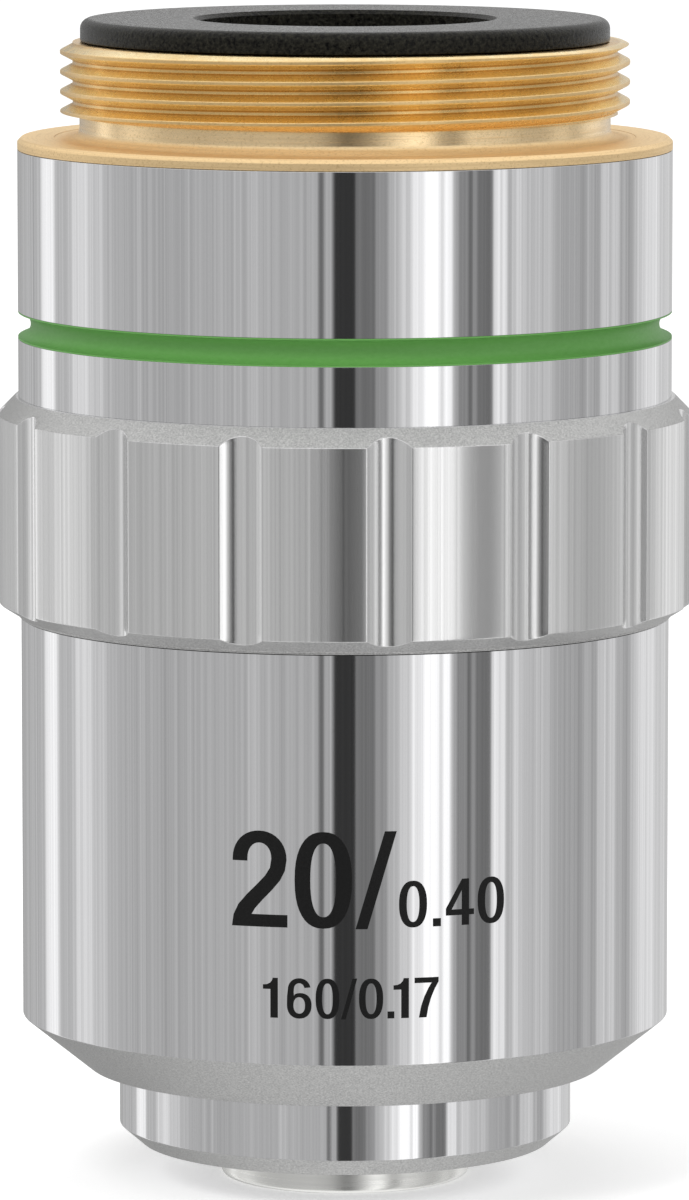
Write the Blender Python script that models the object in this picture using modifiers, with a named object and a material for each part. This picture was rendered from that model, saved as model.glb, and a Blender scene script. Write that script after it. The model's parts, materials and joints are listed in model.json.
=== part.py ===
"""Microscope objective, 20x and 0.40, with the standard 0.8 inch mounting thread.

It stands on the rim of its front cell, at the origin, with the mounting thread up (+Z).
Sizes are in millimetres and are turned into metres where a mesh is made.
"""

import math

import bmesh
import bpy
from mathutils import Matrix, Vector

MM = 0.001

# Clearances
SEAT_GAP = 0.05  # between faces that seat on each other, along the axis
FIT_GAP = 0.05  # between a round piece and its bore, on the radius
CEMENT_GAP = 0.05  # between the two glasses of a doublet
CENTRING_PLAY = 0.4  # round the cell that the three small screws centre

# Heights along the axis, from the front rim up
TIP_HEIGHT = 1.27  # how far the front cell stands out of the nose
NOSE_HEIGHT = 2.80  # how much of the nose shows below the lower sleeve
LOWER_SLEEVE_LENGTH = 16.14
GRIP_LENGTH = 7.85
UPPER_SLEEVE_LENGTH = 8.72
FLANGE_THICKNESS = 0.37
NECK_LENGTH = 0.77
THREAD_LENGTH = 2.61
REAR_RING_HEIGHT = 0.77

# Mounting thread: Whitworth form, right-handed
INCH = 25.4
THREADS_PER_INCH = 36
THREAD_MAJOR_D = 20.22
WHITWORTH_DEPTH = 0.640327  # thread depth over pitch
WHITWORTH_CREST = 1 / 6  # width of the crest flat over pitch
THREAD_START_ANGLE = 2.5  # where the first turn begins, about +Z from +X
THREAD_FIRST_TURN = 0.56  # height of that beginning above the shoulder
THREAD_ROOT_SINK = 0.06  # how far the ridge goes into the core
THREAD_LEAD_INSET = 0.20  # from the crests in to where the end chamfer meets the rear face
THREAD_LEAD_SLOPE = 0.5  # drop of the end chamfer over its width
THREAD_RUNOUT_SLOPE = 0.2  # rise of the neck's upper flank over its width
NECK_INSET = 0.69  # from the crests in to the relief neck

# Mount, one brass turning, whose flange is flush with the upper sleeve
FLANGE_CHAMFER = 0.14
SEAT_OUTSET = 0.20  # from the crests out to the ring of the shoulder that seats
SEAT_RELIEF = 0.10  # how far the shoulder is turned back inside that ring
SKIRT_WALL = 1.95
SKIRT_LENGTH = 23.40  # from the flange down
SKIRT_CHAMFER = 0.30
REAR_BORE_INSET = 1.36  # from the thread's crests in to the rear bore
REAR_BORE_DEPTH = 4.20
FACING_ALLOWANCE = 0.20  # stock that the facing tools take off

# Outer sleeves and grip ring, which all go over the skirt
UPPER_SLEEVE_WALL = 1.03
GROOVE_WIDTH = 1.03
GROOVE_DEPTH = 0.56
GROOVE_FROM_BOTTOM = 2.515  # centre of the groove above the sleeve's lower end
ENAMEL_THICKNESS = 0.08
ENAMEL_INSET = 0.02
EDGE_CHAMFER = 0.08
GRIP_WALL = 1.77
GRIP_TOP_CHAMFER_WIDTH = 0.62
GRIP_TOP_CHAMFER_HEIGHT = 0.63
GRIP_FOOT_CHAMFER_WIDTH = 0.72
GRIP_FOOT_CHAMFER_HEIGHT = 0.45
GRIP_FOOT_LAND = 0.08
FLUTE_COUNT = 15
FLUTE_WIDTH = 1.65
FLUTE_DEPTH = 0.38
FLUTE_PHASE = 7.1  # degrees from the front, towards +X
LOWER_SLEEVE_WALL = 0.96  # over the skirt
LOWER_SLEEVE_STEP = 0.29  # how much narrower its bore is below the skirt
CONE_END_LAND = 1.11  # width of the flat ring between the cone and the nose
CONE_LENGTH = 1.85
NOSE_GUIDE_LENGTH = 0.9

# Rear stop ring
REAR_RING_INSET = 0.72  # from the thread's crests in to the ring's side
REAR_RING_HOLE_D = 10.50
REAR_RING_EDGE = 0.26  # chamfer round its rim
REAR_RING_HOLE_EDGE = 0.12
REAR_RING_WALL = 1.25
REAR_SHANK_LENGTH = 3.05
REAR_SHANK_WALL = 0.80

# Lens barrel, whose lower end shows as the nose
BARREL_BORE_D = 13.20
BARREL_WALL = 1.50
BARREL_END_LAND = 2.30  # from the retaining ring up to the barrel's end
COLLAR_STEP = 0.40  # how far the collar stands out from the barrel
COLLAR_ABOVE_SKIRT_END = 0.94
NOSE_CHAMFER_WIDTH = 0.74
NOSE_CHAMFER_HEIGHT = 0.64
NOSE_WALL = 1.20

# Front cell
TIP_WALL = 0.65
TIP_EDGE = 0.20
TIP_LIP_WIDTH = 0.30
TIP_LIP_FLARE = 0.15
TIP_LIP_HEIGHT = 0.35

# Further cells and spacers
LEDGE_HEIGHT = 0.40
LEDGE_WIDTH = 0.40
SPACER_WALL = 1.25

# Lengths of the pieces stacked in the barrel, from the front up
FRONT_CELL_FLANGE = 1.35
SECOND_CELL_LENGTH = 3.60
FRONT_SPACER_LENGTH = 0.95
THIRD_CELL_LENGTH = 4.60
MIDDLE_SPACER_LENGTH = 1.35
FOURTH_CELL_LENGTH = 4.90
REAR_SPACER_LENGTH = 4.50
REAR_CELL_LENGTH = 4.50
RETAINING_RING_LENGTH = 1.50

# Slotted rings
LOCK_RING_LENGTH = 1.45
LOCK_RING_WALL = 1.60
SLOT_WIDTH = 1.20
SLOT_DEPTH = 0.60

# Centring screws
CENTRING_SCREW_COUNT = 3
CENTRING_SCREW_D = 1.20
CENTRING_SCREW_SLOT = 0.22
CENTRING_SCREW_SLOT_DEPTH = 0.35
CENTRING_SCREW_INSET = 0.20  # how far its head lies below the nose's surface

# Glass: radii of curvature, plus where the edge of the face rises above its middle
FRONT_LENS = {"diameter": 7.50, "faces": (-12.0, -5.2), "thickness": 2.45}
SECOND_LENS = {"diameter": 9.40, "faces": (-30.0, -9.5), "thickness": 2.40}
THIRD_DOUBLET = {"diameter": 10.00, "faces": (16.0, -8.5, -25.0), "thickness": (3.60, 1.10)}
FOURTH_DOUBLET = {"diameter": 10.00, "faces": (18.0, -9.0, 40.0), "thickness": (3.40, 1.00)}
REAR_DOUBLET = {"diameter": 8.40, "faces": (-12.0, 8.0, 20.0), "thickness": (1.00, 1.50)}

# How finely round things are divided
HOUSING_SEGMENTS = 48
GRIP_SEGMENTS = 60
INNER_SEGMENTS = 30
GLASS_SEGMENTS = 20
SCREW_SEGMENTS = 10
FLUTE_SEGMENTS = 18
GLASS_RINGS = 3
GROOVE_STEPS = 4
SHARP_ANGLE = math.radians(28)
MERGE = 1e-6  # metres

# Derived radii, from the thread in and from the barrel's bore out
PITCH = INCH / THREADS_PER_INCH
THREAD_DEPTH = WHITWORTH_DEPTH * PITCH
THREAD_CREST_R = THREAD_MAJOR_D / 2
THREAD_CORE_R = THREAD_CREST_R - THREAD_DEPTH
REAR_BORE_R = THREAD_CREST_R - REAR_BORE_INSET

BARREL_BORE_R = BARREL_BORE_D / 2
CELL_R = BARREL_BORE_R - FIT_GAP
CENTRED_CELL_R = CELL_R - CENTRING_PLAY
SPACER_BORE_R = CELL_R - SPACER_WALL
NOSE_R = BARREL_BORE_R + BARREL_WALL
COLLAR_R = NOSE_R + COLLAR_STEP
MOUNT_BORE_R = COLLAR_R + 2 * FIT_GAP
SKIRT_R = MOUNT_BORE_R + SKIRT_WALL
SLEEVE_BORE_R = SKIRT_R + FIT_GAP
UPPER_SLEEVE_R = SLEEVE_BORE_R + UPPER_SLEEVE_WALL
GRIP_R = SLEEVE_BORE_R + GRIP_WALL
LOWER_SLEEVE_R = SLEEVE_BORE_R + LOWER_SLEEVE_WALL
TIP_BORE_R = FRONT_LENS["diameter"] / 2 + FIT_GAP
TIP_R = TIP_BORE_R + TIP_WALL

# Derived heights
STACK = {
    "front_cell": FRONT_CELL_FLANGE,
    "second_cell": SECOND_CELL_LENGTH,
    "front_spacer": FRONT_SPACER_LENGTH,
    "third_cell": THIRD_CELL_LENGTH,
    "middle_spacer": MIDDLE_SPACER_LENGTH,
    "fourth_cell": FOURTH_CELL_LENGTH,
    "rear_spacer": REAR_SPACER_LENGTH,
    "rear_cell": REAR_CELL_LENGTH,
    "cell_retaining_ring": RETAINING_RING_LENGTH,
}
LOWER_SLEEVE_Z = TIP_HEIGHT + NOSE_HEIGHT
GRIP_Z = LOWER_SLEEVE_Z + LOWER_SLEEVE_LENGTH + SEAT_GAP
UPPER_SLEEVE_Z = GRIP_Z + GRIP_LENGTH + SEAT_GAP
FLANGE_Z = UPPER_SLEEVE_Z + UPPER_SLEEVE_LENGTH + SEAT_GAP
SHOULDER_Z = FLANGE_Z + FLANGE_THICKNESS
THREAD_Z = SHOULDER_Z + NECK_LENGTH
REAR_FACE_Z = THREAD_Z + THREAD_LENGTH
REAR_RING_Z = REAR_FACE_Z + SEAT_GAP
SKIRT_END_Z = FLANGE_Z - SKIRT_LENGTH
CELL_SEAT_Z = TIP_HEIGHT + NOSE_WALL
STACK_TOP_Z = CELL_SEAT_Z + sum(SEAT_GAP + length for length in STACK.values())
BARREL_TOP_Z = STACK_TOP_Z + BARREL_END_LAND

# Finishes: colour, metallic, roughness, transmission
FINISHES = {
    "brass": ((0.80, 0.56, 0.22), 1.0, 0.32, 0.0),
    "chrome": ((0.72, 0.72, 0.73), 1.0, 0.08, 0.0),
    "grip_chrome": ((0.66, 0.66, 0.66), 1.0, 0.16, 0.0),
    "nose_chrome": ((0.70, 0.70, 0.70), 1.0, 0.12, 0.0),
    "polished_steel": ((0.78, 0.78, 0.79), 1.0, 0.06, 0.0),
    "green_enamel": ((0.09, 0.30, 0.07), 0.0, 0.35, 0.0),
    "black_anodised": ((0.02, 0.02, 0.02), 0.0, 0.45, 0.0),
    "blackened_brass": ((0.035, 0.032, 0.030), 0.3, 0.55, 0.0),
    "bright_brass": ((0.74, 0.58, 0.30), 1.0, 0.40, 0.0),
    "screw_steel": ((0.55, 0.55, 0.57), 1.0, 0.35, 0.0),
    "crown_glass": ((0.92, 0.96, 0.95), 0.0, 0.02, 1.0),
    "flint_glass": ((0.95, 0.95, 0.90), 0.0, 0.02, 1.0),
}


def collection(name):
    """The collection of this name, made in the scene the first time."""
    if name not in bpy.data.collections:
        bpy.context.scene.collection.children.link(bpy.data.collections.new(name))
    return bpy.data.collections[name]


def linked(name, mesh, base, in_collection):
    obj = bpy.data.objects.new(name, mesh)
    obj.location.z = base * MM
    collection(in_collection).objects.link(obj)
    return obj


def as_part(obj, finish):
    """Gives a piece a material of its own in the named finish."""
    colour, metallic, roughness, transmission = FINISHES[finish]
    made = bpy.data.materials.new(f"{obj.name}_{finish}")
    made.use_nodes = True
    shader = made.node_tree.nodes["Principled BSDF"]
    shader.inputs["Base Color"].default_value = (*colour, 1.0)
    shader.inputs["Metallic"].default_value = metallic
    shader.inputs["Roughness"].default_value = roughness
    shader.inputs["Transmission Weight"].default_value = transmission
    made.diffuse_color = (*colour, 1.0)
    obj.data.materials.append(made)
    return obj


def as_cutter(obj):
    obj.hide_render = True
    obj.display_type = "WIRE"
    return obj


def turned(name, profile, segments, base=0.0, in_collection="microscope_objective"):
    """Turns a profile of (radius, height) points about Z: outer side first, top to bottom."""
    mesh = bpy.data.meshes.new(name)
    outline = bmesh.new()
    points = [outline.verts.new((radius * MM, 0.0, height * MM)) for radius, height in profile]
    for start, end in zip(points, points[1:]):
        outline.edges.new((start, end))
    if profile[0][0] > 0.0:
        outline.edges.new((points[-1], points[0]))
    outline.to_mesh(mesh)
    outline.free()
    obj = linked(name, mesh, base, in_collection)
    turn = obj.modifiers.new("Turn", "SCREW")
    turn.axis = "Z"
    turn.angle = math.tau
    turn.steps = segments
    turn.render_steps = segments
    turn.use_merge_vertices = True
    turn.merge_threshold = MERGE
    return obj


def boolean(obj, operation, other):
    step = obj.modifiers.new(f"{operation.title()} {other.name}", "BOOLEAN")
    step.operation = operation
    step.solver = "EXACT"
    step.object = other


def tube(outer_r, inner_r, length):
    """The closed profile of a plain ring that starts at height 0."""
    return [(outer_r, length), (outer_r, 0.0), (inner_r, 0.0), (inner_r, length)]


def round_bar(name, radius, length, segments, place, in_collection):
    """A plain cylinder with its middle where the matrix puts it."""
    mesh = bpy.data.meshes.new(name)
    shape = bmesh.new()
    bmesh.ops.create_cone(
        shape,
        cap_ends=True,
        segments=segments,
        radius1=radius * MM,
        radius2=radius * MM,
        depth=length * MM,
        matrix=place,
    )
    shape.to_mesh(mesh)
    shape.free()
    return linked(name, mesh, 0.0, in_collection)


def thread_ridge():
    """One helical ridge of the mounting thread, longer than needed at both ends."""
    crest_half = WHITWORTH_CREST * PITCH / 2
    root_half = PITCH / 2 - crest_half
    flank = (root_half - crest_half) / THREAD_DEPTH
    sunk_half = root_half + flank * THREAD_ROOT_SINK
    sunk_r = THREAD_CORE_R - THREAD_ROOT_SINK
    section = [
        (THREAD_CREST_R, crest_half),
        (THREAD_CREST_R, -crest_half),
        (sunk_r, -sunk_half),
        (sunk_r, sunk_half),
    ]
    start_z = SHOULDER_Z + THREAD_FIRST_TURN
    turns = math.ceil((REAR_FACE_Z + PITCH / 2 - start_z) / PITCH)
    ridge = turned("thread_ridge", section, HOUSING_SEGMENTS, start_z, "cutters")
    ridge.rotation_euler.z = math.radians(THREAD_START_ANGLE)
    wind = ridge.modifiers["Turn"]
    wind.use_merge_vertices = False
    wind.screw_offset = PITCH * MM
    wind.iterations = turns
    bpy.context.view_layer.update()
    wound = ridge.evaluated_get(bpy.context.evaluated_depsgraph_get())
    mesh = bpy.data.meshes.new_from_object(wound)
    shape = bmesh.new()
    shape.from_mesh(mesh)
    bmesh.ops.remove_doubles(shape, verts=shape.verts, dist=MERGE)
    open_edges = [edge for edge in shape.edges if edge.is_boundary]
    bmesh.ops.holes_fill(shape, edges=open_edges, sides=len(section))
    bmesh.ops.recalc_face_normals(shape, faces=shape.faces)
    shape.to_mesh(mesh)
    shape.free()
    ridge.modifiers.clear()
    ridge.data = mesh
    return as_cutter(ridge)


def end_facing_tool():
    """Faces the rear end of the mount and turns the lead chamfer on its thread."""
    reach_r = THREAD_CREST_R + PITCH
    lead_r = THREAD_CREST_R - THREAD_LEAD_INSET
    top = REAR_FACE_Z + 2 * PITCH + FACING_ALLOWANCE
    low = REAR_FACE_Z - THREAD_LEAD_SLOPE * (reach_r - lead_r)
    profile = [(0.0, top), (reach_r, top), (reach_r, low), (lead_r, REAR_FACE_Z), (0.0, REAR_FACE_Z)]
    return as_cutter(turned("end_facing_tool", profile, HOUSING_SEGMENTS, 0.0, "cutters"))


def neck_tool():
    """Faces the shoulder, breaks its edge and turns the relief neck below the thread."""
    reach_r = UPPER_SLEEVE_R + PITCH
    neck_r = THREAD_CREST_R - NECK_INSET
    edge_r = UPPER_SLEEVE_R - FLANGE_CHAMFER
    seat_r = THREAD_CREST_R + SEAT_OUTSET
    profile = [
        (reach_r, THREAD_Z + THREAD_RUNOUT_SLOPE * (reach_r - neck_r)),
        (reach_r, SHOULDER_Z - (reach_r - edge_r)),
        (edge_r, SHOULDER_Z),
        (seat_r, SHOULDER_Z),
        (seat_r, SHOULDER_Z - SEAT_RELIEF),
        (neck_r, SHOULDER_Z - SEAT_RELIEF),
        (neck_r, THREAD_Z),
    ]
    return as_cutter(turned("neck_tool", profile, HOUSING_SEGMENTS, 0.0, "cutters"))


def make_mount():
    flange_top = SHOULDER_Z + FACING_ALLOWANCE
    bar_end = REAR_FACE_Z + FACING_ALLOWANCE
    rear_bore_z = REAR_FACE_Z - REAR_BORE_DEPTH
    blank = [
        (THREAD_CORE_R, bar_end),
        (THREAD_CORE_R, flange_top),
        (UPPER_SLEEVE_R, flange_top),
        (UPPER_SLEEVE_R, FLANGE_Z),
        (SKIRT_R, FLANGE_Z),
        (SKIRT_R, SKIRT_END_Z + SKIRT_CHAMFER),
        (SKIRT_R - SKIRT_CHAMFER, SKIRT_END_Z),
        (MOUNT_BORE_R, SKIRT_END_Z),
        (MOUNT_BORE_R, rear_bore_z),
        (REAR_BORE_R, rear_bore_z),
        (REAR_BORE_R, bar_end),
    ]
    mount = turned("mount", blank, HOUSING_SEGMENTS)
    boolean(mount, "UNION", thread_ridge())
    boolean(mount, "DIFFERENCE", neck_tool())
    boolean(mount, "DIFFERENCE", end_facing_tool())
    return as_part(mount, "brass")


def groove_arc(surface_r, middle, half_width, depth, upwards):
    """Points of a half-ellipse sunk into a round surface, from one lip to the other."""
    angles = [math.pi * step / GROOVE_STEPS for step in range(GROOVE_STEPS + 1)]
    sign = -1.0 if upwards else 1.0
    return [
        (surface_r - depth * math.sin(angle), middle + sign * half_width * math.cos(angle))
        for angle in angles
    ]


def make_upper_sleeve():
    groove = groove_arc(UPPER_SLEEVE_R, GROOVE_FROM_BOTTOM, GROOVE_WIDTH / 2, GROOVE_DEPTH, False)
    profile = [
        (UPPER_SLEEVE_R - EDGE_CHAMFER, UPPER_SLEEVE_LENGTH),
        (UPPER_SLEEVE_R, UPPER_SLEEVE_LENGTH - EDGE_CHAMFER),
        *groove,
        (UPPER_SLEEVE_R, EDGE_CHAMFER),
        (UPPER_SLEEVE_R - EDGE_CHAMFER, 0.0),
        (SLEEVE_BORE_R, 0.0),
        (SLEEVE_BORE_R, UPPER_SLEEVE_LENGTH),
    ]
    sleeve = turned("upper_sleeve", profile, HOUSING_SEGMENTS, UPPER_SLEEVE_Z)
    return as_part(sleeve, "chrome")


def make_colour_ring():
    """A skin of enamel that follows the groove and leaves it hollow."""
    surface_r = UPPER_SLEEVE_R - ENAMEL_INSET
    back_half = GROOVE_WIDTH / 2 - FIT_GAP
    back_depth = GROOVE_DEPTH - FIT_GAP - ENAMEL_INSET
    face_half = back_half - ENAMEL_THICKNESS
    face_depth = back_depth - ENAMEL_THICKNESS
    profile = [
        *groove_arc(surface_r, 0.0, face_half, face_depth, False),
        *groove_arc(surface_r, 0.0, back_half, back_depth, True),
    ]
    ring = turned("colour_ring", profile, HOUSING_SEGMENTS, UPPER_SLEEVE_Z + GROOVE_FROM_BOTTOM)
    return as_part(ring, "green_enamel")


def flute_cutters():
    """Round cutters side by side, one for each flute."""
    cutter_r = (FLUTE_WIDTH**2 / 4 + FLUTE_DEPTH**2) / (2 * FLUTE_DEPTH)
    circle_r = GRIP_R - FLUTE_DEPTH + cutter_r
    mesh = bpy.data.meshes.new("flute_cutters")
    shape = bmesh.new()
    for count in range(FLUTE_COUNT):
        angle = math.radians(FLUTE_PHASE - 90.0) + math.tau * count / FLUTE_COUNT
        place = Matrix.Rotation(angle, 4, "Z") @ Matrix.Translation((circle_r * MM, 0.0, 0.0))
        bmesh.ops.create_cone(
            shape,
            cap_ends=True,
            segments=FLUTE_SEGMENTS,
            radius1=cutter_r * MM,
            radius2=cutter_r * MM,
            depth=2 * GRIP_LENGTH * MM,
            matrix=place,
        )
    shape.to_mesh(mesh)
    shape.free()
    return as_cutter(linked("flute_cutters", mesh, GRIP_Z + GRIP_LENGTH / 2, "cutters"))


def make_grip_ring():
    foot_r = GRIP_R - GRIP_FOOT_CHAMFER_WIDTH
    profile = [
        (GRIP_R - GRIP_TOP_CHAMFER_WIDTH, GRIP_LENGTH),
        (GRIP_R, GRIP_LENGTH - GRIP_TOP_CHAMFER_HEIGHT),
        (GRIP_R, GRIP_FOOT_LAND + GRIP_FOOT_CHAMFER_HEIGHT),
        (foot_r, GRIP_FOOT_LAND),
        (foot_r, 0.0),
        (SLEEVE_BORE_R, 0.0),
        (SLEEVE_BORE_R, GRIP_LENGTH),
    ]
    grip = turned("grip_ring", profile, GRIP_SEGMENTS, GRIP_Z)
    boolean(grip, "DIFFERENCE", flute_cutters())
    return as_part(grip, "grip_chrome")


def make_lower_sleeve():
    """A long sleeve that narrows to a cone and guides the nose at its lower end."""
    guide_r = NOSE_R + FIT_GAP
    inner_r = SLEEVE_BORE_R - LOWER_SLEEVE_STEP
    step = SKIRT_END_Z - SEAT_GAP - LOWER_SLEEVE_Z
    profile = [
        (LOWER_SLEEVE_R - EDGE_CHAMFER, LOWER_SLEEVE_LENGTH),
        (LOWER_SLEEVE_R, LOWER_SLEEVE_LENGTH - EDGE_CHAMFER),
        (LOWER_SLEEVE_R, CONE_LENGTH),
        (guide_r + CONE_END_LAND, 0.0),
        (guide_r, 0.0),
        (guide_r, NOSE_GUIDE_LENGTH),
        (inner_r, NOSE_GUIDE_LENGTH + CONE_LENGTH),
        (inner_r, step),
        (SLEEVE_BORE_R, step),
        (SLEEVE_BORE_R, LOWER_SLEEVE_LENGTH),
    ]
    sleeve = turned("lower_sleeve", profile, HOUSING_SEGMENTS, LOWER_SLEEVE_Z)
    return as_part(sleeve, "chrome")


def make_rear_stop_ring():
    """A black cap: its shank screws into the mount, and its port lets the light out."""
    outer_r = THREAD_CREST_R - REAR_RING_INSET
    hole_r = REAR_RING_HOLE_D / 2
    shank_r = REAR_BORE_R - FIT_GAP
    shank_bore_r = shank_r - REAR_SHANK_WALL
    profile = [
        (outer_r - REAR_RING_EDGE, REAR_RING_HEIGHT),
        (outer_r, REAR_RING_HEIGHT - REAR_RING_EDGE),
        (outer_r, 0.0),
        (shank_r, 0.0),
        (shank_r, -REAR_SHANK_LENGTH),
        (shank_bore_r, -REAR_SHANK_LENGTH),
        (shank_bore_r, REAR_RING_HEIGHT - REAR_RING_WALL),
        (hole_r, REAR_RING_HEIGHT - REAR_RING_WALL),
        (hole_r, REAR_RING_HEIGHT - REAR_RING_HOLE_EDGE),
        (hole_r + REAR_RING_HOLE_EDGE, REAR_RING_HEIGHT),
    ]
    ring = turned("rear_stop_ring", profile, HOUSING_SEGMENTS, REAR_RING_Z)
    return as_part(ring, "black_anodised")


def stack_z(name):
    """The lower face of a piece of the stack, which seats on the one in front of it."""
    base = CELL_SEAT_Z + SEAT_GAP
    for piece, length in STACK.items():
        if piece == name:
            break
        base += length + SEAT_GAP
    return base


def screw_place(count, distance):
    """Where a centring screw or its hole lies, level with the middle of the third cell."""
    height = stack_z("third_cell") + STACK["third_cell"] / 2
    turn = Matrix.Rotation(math.tau * count / CENTRING_SCREW_COUNT, 4, "Z")
    shift = Matrix.Translation(Vector((distance, 0.0, height)) * MM)
    return turn @ shift @ Matrix.Rotation(math.pi / 2, 4, "Y")


def make_lens_barrel():
    length = BARREL_TOP_Z - TIP_HEIGHT
    collar_end = SKIRT_END_Z + COLLAR_ABOVE_SKIRT_END - TIP_HEIGHT
    tip_hole_r = TIP_R + FIT_GAP
    profile = [
        (COLLAR_R, length),
        (COLLAR_R, collar_end),
        (NOSE_R, collar_end),
        (NOSE_R, NOSE_CHAMFER_HEIGHT),
        (NOSE_R - NOSE_CHAMFER_WIDTH, 0.0),
        (tip_hole_r, 0.0),
        (tip_hole_r, NOSE_WALL),
        (BARREL_BORE_R, NOSE_WALL),
        (BARREL_BORE_R, length),
    ]
    barrel = turned("lens_barrel", profile, INNER_SEGMENTS, TIP_HEIGHT)
    for count in range(CENTRING_SCREW_COUNT):
        drill = round_bar(
            f"screw_drill_{count + 1}",
            CENTRING_SCREW_D / 2 + FIT_GAP,
            2 * BARREL_WALL,
            SCREW_SEGMENTS,
            screw_place(count, NOSE_R - BARREL_WALL / 2),
            "cutters",
        )
        boolean(barrel, "DIFFERENCE", as_cutter(drill))
    return as_part(barrel, "nose_chrome")


def make_centring_screws():
    """Slotted grub screws that bear on the third cell."""
    inner_end = CENTRED_CELL_R + SEAT_GAP
    outer_end = NOSE_R - CENTRING_SCREW_INSET
    length = outer_end - inner_end
    for count in range(CENTRING_SCREW_COUNT):
        place = screw_place(count, (inner_end + outer_end) / 2)
        name = f"centring_screw_{count + 1}"
        screw = round_bar(
            name, CENTRING_SCREW_D / 2, length, SCREW_SEGMENTS, place, "microscope_objective"
        )
        slot = cross_slot(
            f"{name}_slot",
            2 * CENTRING_SCREW_D,
            CENTRING_SCREW_SLOT,
            2 * CENTRING_SCREW_SLOT_DEPTH,
            place @ Matrix.Translation((0.0, 0.0, length / 2 * MM)),
        )
        boolean(screw, "DIFFERENCE", slot)
        as_part(screw, "screw_steel")


def cross_slot(name, length, width, depth, place):
    """A flat blade that cuts a slot across the end of a piece."""
    mesh = bpy.data.meshes.new(name)
    shape = bmesh.new()
    size = Matrix.Diagonal((length * MM, width * MM, depth * MM, 1.0))
    bmesh.ops.create_cube(shape, size=1.0, matrix=place @ size)
    shape.to_mesh(mesh)
    shape.free()
    return as_cutter(linked(name, mesh, 0.0, "cutters"))


def slotted_ring(name, outer_r, inner_r, length, base):
    ring = turned(name, tube(outer_r, inner_r, length), INNER_SEGMENTS, base)
    place = Matrix.Translation((0.0, 0.0, (base + length) * MM))
    blade = cross_slot(f"{name}_slot", 3 * outer_r, SLOT_WIDTH, 2 * SLOT_DEPTH, place)
    boolean(ring, "DIFFERENCE", blade)
    return as_part(ring, "blackened_brass")


def make_focus_lock_ring():
    """Turned down on the barrel's end, it holds the barrel at its height in the mount."""
    slotted_ring(
        "focus_lock_ring",
        COLLAR_R,
        COLLAR_R - LOCK_RING_WALL,
        LOCK_RING_LENGTH,
        BARREL_TOP_Z + SEAT_GAP,
    )


def rise(curve, radius):
    """How far a glass face of this curvature lies above its middle, at this radius."""
    return math.copysign(abs(curve) - math.sqrt(curve**2 - radius**2), curve)


def face_points(curve, middle, edge_r):
    """Points of a glass face from the axis out to its edge."""
    radii = [edge_r * ring / GLASS_RINGS for ring in range(GLASS_RINGS + 1)]
    return [(radius, middle + rise(curve, radius)) for radius in radii]


def glass(name, faces, thickness, diameter, front_z, finish):
    """One lens: its front face is the lower one, with its middle at front_z."""
    edge_r = diameter / 2
    rear = face_points(faces[1], front_z + thickness, edge_r)
    front = face_points(faces[0], front_z, edge_r)
    lens = turned(name, rear + front[::-1], GLASS_SEGMENTS)
    return as_part(lens, finish)


def seated_front(ledge_z, curve, diameter, ledge_r):
    """The height of a front face's middle when the face rests on its ledge."""
    lowest = min(rise(curve, ledge_r), rise(curve, diameter / 2))
    return ledge_z + SEAT_GAP - lowest


def make_doublet(prefix, spec, ledge_z, ledge_r, kinds):
    """Two glasses cemented together, resting on the ledge of their cell."""
    front, middle, rear = spec["faces"]
    first_thickness, second_thickness = spec["thickness"]
    front_z = seated_front(ledge_z, front, spec["diameter"], ledge_r)
    second_z = front_z + first_thickness + CEMENT_GAP
    first_kind, second_kind = kinds
    glass(
        f"{prefix}_{first_kind}_lens",
        (front, middle),
        first_thickness,
        spec["diameter"],
        front_z,
        f"{first_kind}_glass",
    )
    glass(
        f"{prefix}_{second_kind}_lens",
        (middle, rear),
        second_thickness,
        spec["diameter"],
        second_z,
        f"{second_kind}_glass",
    )


def make_front_group():
    """The tip with its lens, which rests on a lip at the very front."""
    lip_r = TIP_BORE_R - TIP_LIP_WIDTH
    shoulder = stack_z("front_cell")
    top = shoulder + STACK["front_cell"]
    profile = [
        (CELL_R, top),
        (CELL_R, shoulder),
        (TIP_R, shoulder),
        (TIP_R, TIP_EDGE),
        (TIP_R - TIP_EDGE, 0.0),
        (lip_r + TIP_LIP_FLARE, 0.0),
        (lip_r, TIP_LIP_HEIGHT),
        (TIP_BORE_R, TIP_LIP_HEIGHT),
        (TIP_BORE_R, shoulder),
        (TIP_BORE_R + TIP_EDGE, top),
    ]
    as_part(turned("front_cell", profile, INNER_SEGMENTS), "polished_steel")
    front_z = seated_front(
        TIP_LIP_HEIGHT, FRONT_LENS["faces"][0], FRONT_LENS["diameter"], lip_r
    )
    glass(
        "front_lens",
        FRONT_LENS["faces"],
        FRONT_LENS["thickness"],
        FRONT_LENS["diameter"],
        front_z,
        "crown_glass",
    )


def lens_cell(name, outer_r, lens_diameter):
    """A ring with a bore for its lens and a ledge at the front for the lens to rest on."""
    base = stack_z(name)
    length = STACK[name]
    bore_r = lens_diameter / 2 + FIT_GAP
    ledge_r = bore_r - LEDGE_WIDTH
    profile = [
        (outer_r, length),
        (outer_r, 0.0),
        (ledge_r, 0.0),
        (ledge_r, LEDGE_HEIGHT),
        (bore_r, LEDGE_HEIGHT),
        (bore_r, length),
    ]
    as_part(turned(name, profile, INNER_SEGMENTS, base), "bright_brass")
    return base + LEDGE_HEIGHT, ledge_r


def spacer(name):
    profile = tube(CELL_R, SPACER_BORE_R, STACK[name])
    as_part(turned(name, profile, INNER_SEGMENTS, stack_z(name)), "blackened_brass")


def make_second_lens():
    diameter = SECOND_LENS["diameter"]
    faces = SECOND_LENS["faces"]
    ledge_z, ledge_r = lens_cell("second_cell", CELL_R, diameter)
    front_z = seated_front(ledge_z, faces[0], diameter, ledge_r)
    glass("second_lens", faces, SECOND_LENS["thickness"], diameter, front_z, "crown_glass")


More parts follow.
